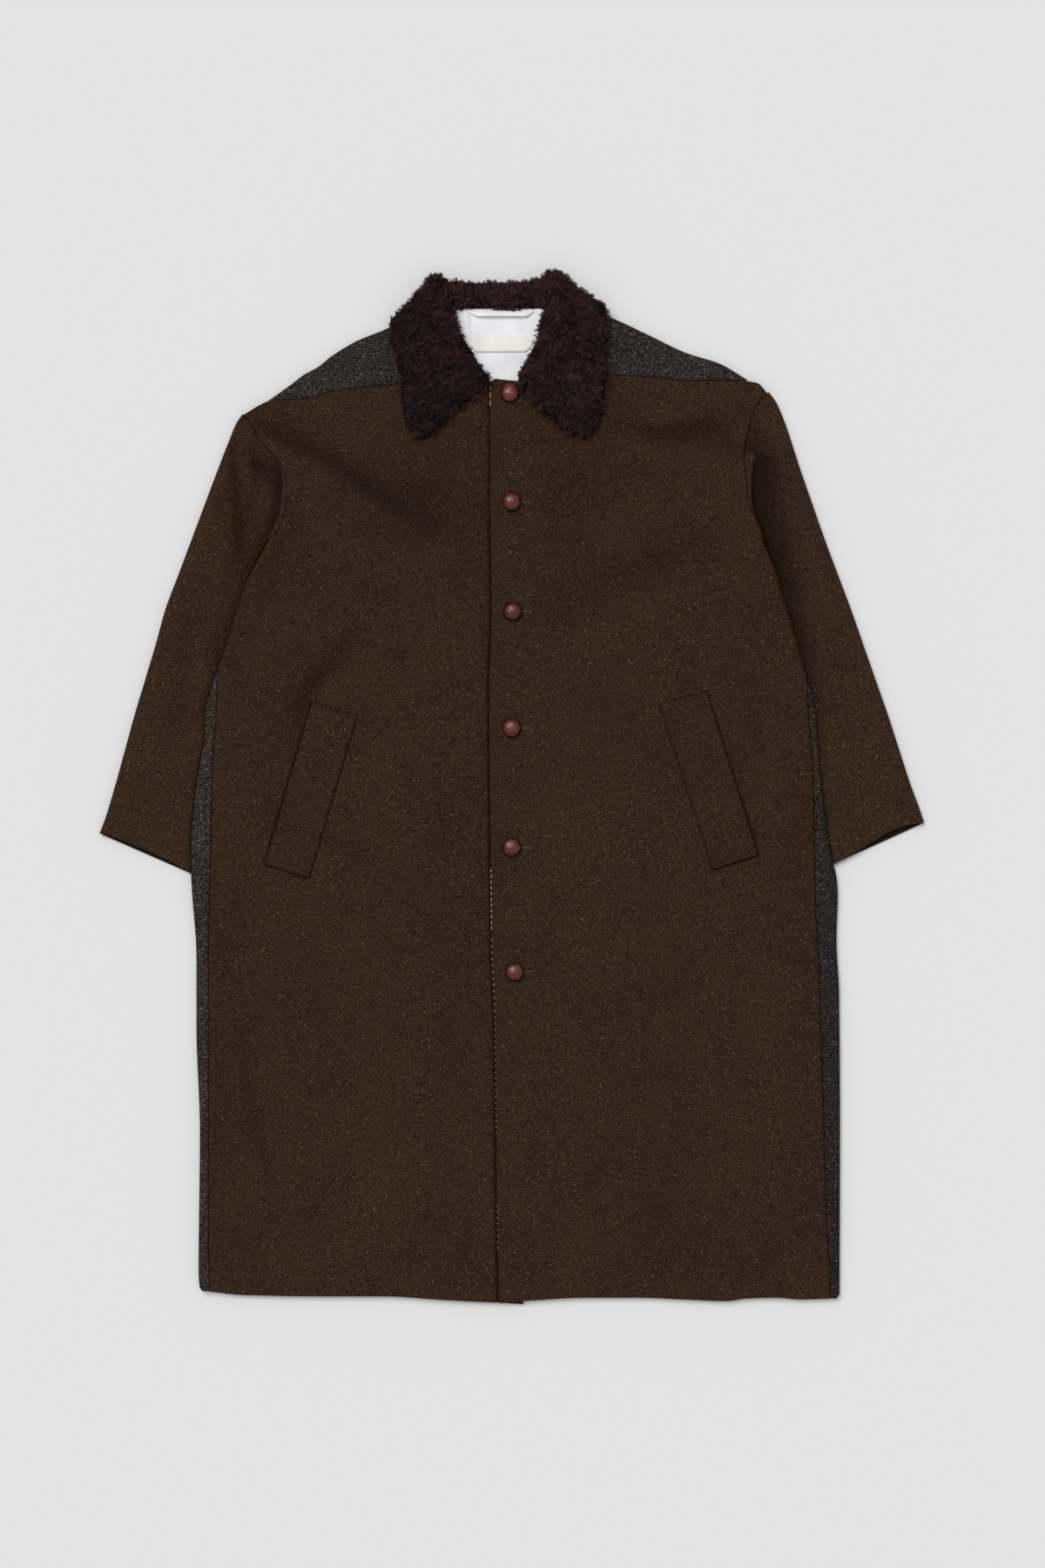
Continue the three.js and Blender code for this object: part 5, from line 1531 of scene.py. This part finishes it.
def model_button():
    """A leather button: a dome of four quarters sewn together, polished by wear at its top, with painted
    shade darkening it towards its rim.
    """
    dome = button_dome()
    mesh = dome.data
    press_quarter_seams(mesh)
    bpy.ops.object.shade_smooth_by_angle(angle=math.radians(50))
    mesh.materials.append(leather)
    # Height up the dome, from 0 at the rim to 1 at the top: it drives the painted rim shade and the
    # polish.
    wear_and_rim_shade = [min(max(v.co.z / (DOME_HEIGHT * MM), 0.0), 1.0) for v in mesh.vertices]
    mesh.attributes.new("wear_and_rim_shade", "FLOAT", "POINT").data.foreach_set("value", wear_and_rim_shade)
    return dome


def turn_and_place(mesh, x, y, turn):
    """Turns a button in its own mesh and sets it on the over-lap."""
    level = float(height_left_front(np.array(x), np.array(y))) + 1.0
    co = np.array([v.co for v in mesh.vertices])
    c, s = math.cos(turn), math.sin(turn)
    moved_x = co[:, 0] * c - co[:, 1] * s + x * MM
    moved_y = co[:, 0] * s + co[:, 1] * c + y * MM
    moved_z = co[:, 2] + level * MM - co[:, 2].min()
    mesh.vertices.foreach_set("co", np.column_stack([moved_x, moved_y, moved_z]).ravel())
    mesh.update()


def place_buttons():
    pieces = [model_button()]
    for _ in BUTTONS[1:]:
        piece = pieces[0].copy()
        piece.data = pieces[0].data.copy()
        bpy.context.scene.collection.objects.link(piece)
        pieces.append(piece)
    for number, (piece, (x, y), turn) in enumerate(zip(pieces, BUTTONS, BUTTON_TURNS), 1):
        piece.name = f"button_{number}_leather"
        turn_and_place(piece.data, x, y, math.radians(turn))
        dressed(piece, "leather", f"button_{number}")


place_buttons()

# ---- sewing -------------------------------------------------------------------------------


def stitches(name, paths, pitch, length, radius, material, slot):
    """Short stitches along each path of x, y, z points, their ends drawn into the cloth."""
    points, faces = [], []
    for path in paths:
        path = np.array(path, float)
        along = np.r_[0, np.cumsum(np.linalg.norm(np.diff(path, axis=0), axis=1))]
        for start in np.arange(0.4, along[-1] - length, pitch):
            where = start + length * np.array([0.0, 0.18, 0.5, 0.82, 1.0])
            spine = np.column_stack([np.interp(where, along, path[:, k]) for k in range(3)])
            spine[:, 2] += np.array([-1.3, -0.1, 0.15, -0.1, -1.3]) * radius
            run = spine[-1] - spine[0]
            side = np.array([-run[1], run[0], 0]) / max(np.hypot(run[0], run[1]), 1e-9)
            wide = np.array([0.55, 0.95, 1.0, 0.95, 0.55]) * radius
            first = len(points)
            for centre, w in zip(spine, wide):
                up = np.array([0, 0, w])
                points += [centre + side * w, centre + up, centre - side * w, centre - up]
            for ring in range(4):
                a = first + ring * 4
                faces += [(a + k, a + (k + 1) % 4, a + 4 + (k + 1) % 4, a + 4 + k) for k in range(4)]
            faces += [(first + 3, first + 2, first + 1, first), tuple(first + 16 + k for k in range(4))]
    piece = new_piece(name, np.array(points), faces, material)
    return dressed(piece, slot)


def on_surface(xs, ys, surface, above=0.0):
    return np.column_stack([xs, ys, surface(np.asarray(xs, float), np.asarray(ys, float)) + above])


def side_stitching():
    """Two rows inside each side seam, from the hem to below the sleeve."""
    paths = []
    for side, surface, inward, low, high in (
        (side_right, height_right_front, 1, SIDE_ENDS_RIGHT[0], 52),
        (side_left, height_left_front, -1, SIDE_ENDS_LEFT[0], 40),
    ):
        y = np.linspace(low, high, 160)
        for place in SIDE_ROWS:
            x = side(y) + inward * place
            paths.append(on_surface(x, y, surface, -0.22))
    return stitches(
        "side_seam_stitches", paths, pitch=3.4, length=2.6, radius=0.26, material=brown_thread,
        slot="brown_wool",
    )


def welt_stitching():
    """A row across each end of each welt."""
    paths = []
    for corners, surface in ((WELT_RIGHT, height_right_front), (WELT_LEFT, height_left_front)):
        sewn_top, sewn_low, mouth_low, mouth_top = (np.array(c, float) for c in corners)
        down = (sewn_low - sewn_top) / np.linalg.norm(sewn_low - sewn_top)
        for a, b, way in ((sewn_top, mouth_top, 1), (sewn_low, mouth_low, -1)):
            line = between((a, b), np.linspace(0.03, 0.985, 14)[:, None]) + down * way * WELT_ROW
            paths.append(on_surface(line[:, 0], line[:, 1], surface, WELT_CLOTH - 0.1))
    return stitches(
        "welt_stitches", paths, pitch=2.8, length=2.1, radius=0.3, material=brown_thread,
        slot="brown_wool",
    )


def lap_thread():
    """The pale hand stitches along the closing edge: long at the neck, close in the middle."""

    def line(high, low, level):
        y = np.linspace(low, high, 60)
        return np.column_stack([closing_edge(y) - 0.1, y, np.full_like(y, level)])

    for name, paths, pitch, length, radius in (
        ("neck_end_thread", [line(461, 433, 9.9)], 9.4, 7.0, 0.46),
        ("closing_edge_thread", [line(-94, -168, 9.9)], 6.6, 4.0, 0.44),
        ("closing_edge_dots", [line(-173, -262, 9.8)], 7.4, 2.6, 0.38),
        ("closing_edge_ends", [line(-264, -402, 9.8), line(-478, -534, 9.8)], 7.0, 1.6, 0.32),
    ):
        stitches(name, paths, pitch, length, radius, white_thread, "lining")


def buttonholes():
    """Worked slits: two rows of close stitches on either side, from under the button outwards."""
    paths = []
    for (x, y), (near, far) in zip(BUTTONS[1:], BUTTONHOLES):
        for side in (-0.75, 0.75):
            xs = np.linspace(x + near, x + far, 14)
            paths.append(on_surface(xs, np.full_like(xs, y + side), height_left_front, 0.1))
        tail_y = np.array([y - 1.5, y + 1.5])
        paths.append(on_surface(np.full(2, x + far + 0.4), tail_y, height_left_front, 0.12))
    return stitches(
        "buttonhole_stitches", paths, pitch=1.15, length=1.0, radius=0.5, material=slit_thread,
        slot="brown_wool",
    )


side_stitching()
welt_stitching()
lap_thread()
buttonholes()

# ---- stage --------------------------------------------------------------------------------


def stage():
    """A pale floor just below the coat, wide enough to fill every view."""
    bpy.ops.mesh.primitive_plane_add(size=90, location=(0, 0, -0.0006))
    floor = bpy.context.object
    floor.name = "floor"
    material, _, shader = new_material("floor_paper")
    shader.inputs["Base Color"].default_value = colour(231, 231, 231)
    shader.inputs["Roughness"].default_value = 0.9
    shader.inputs["Specular IOR Level"].default_value = 0.1
    floor.data.materials.append(material)


def soft_sun(name, turn, height, width, power):
    """A wide soft light from far off; turn is from +X, and height above the floor, in degrees."""
    light = bpy.data.lights.new(name, "SUN")
    light.energy = power
    light.angle = math.radians(width)
    lamp = bpy.data.objects.new(name, light)
    turn, height = math.radians(turn), math.radians(height)
    across = math.cos(height)
    away = Vector((across * math.cos(turn), across * math.sin(turn), math.sin(height)))
    lamp.location = 2 * away
    lamp.rotation_euler = (-away).to_track_quat("-Z", "Y").to_euler()
    bpy.context.scene.collection.objects.link(lamp)


def camera():
    """Straight down, with the coat's 1.8 m field filling the upright frame."""
    data = bpy.data.cameras.new("camera")
    distance, field = 4.0, 1.8
    data.sensor_fit = "VERTICAL"
    data.sensor_height = 36.0
    data.lens = data.sensor_height * distance / field
    data.clip_end = 100
    eye = bpy.data.objects.new("camera", data)
    eye.location = (0.004, 0.0, distance + 0.01)
    bpy.context.scene.collection.objects.link(eye)
    bpy.context.scene.camera = eye


def lighting():
    """A white room and one wide sun over the wearer's right shoulder."""
    world = bpy.data.worlds.new("studio")
    world.use_nodes = True
    background = world.node_tree.nodes["Background"]
    background.inputs["Color"].default_value = (1.0, 1.0, 1.0, 1.0)
    background.inputs["Strength"].default_value = 0.48
    bpy.context.scene.world = world
    bpy.context.scene.view_settings.view_transform = "Standard"
    soft_sun("key", turn=126, height=62, width=36, power=1.74)


stage()
camera()
lighting()
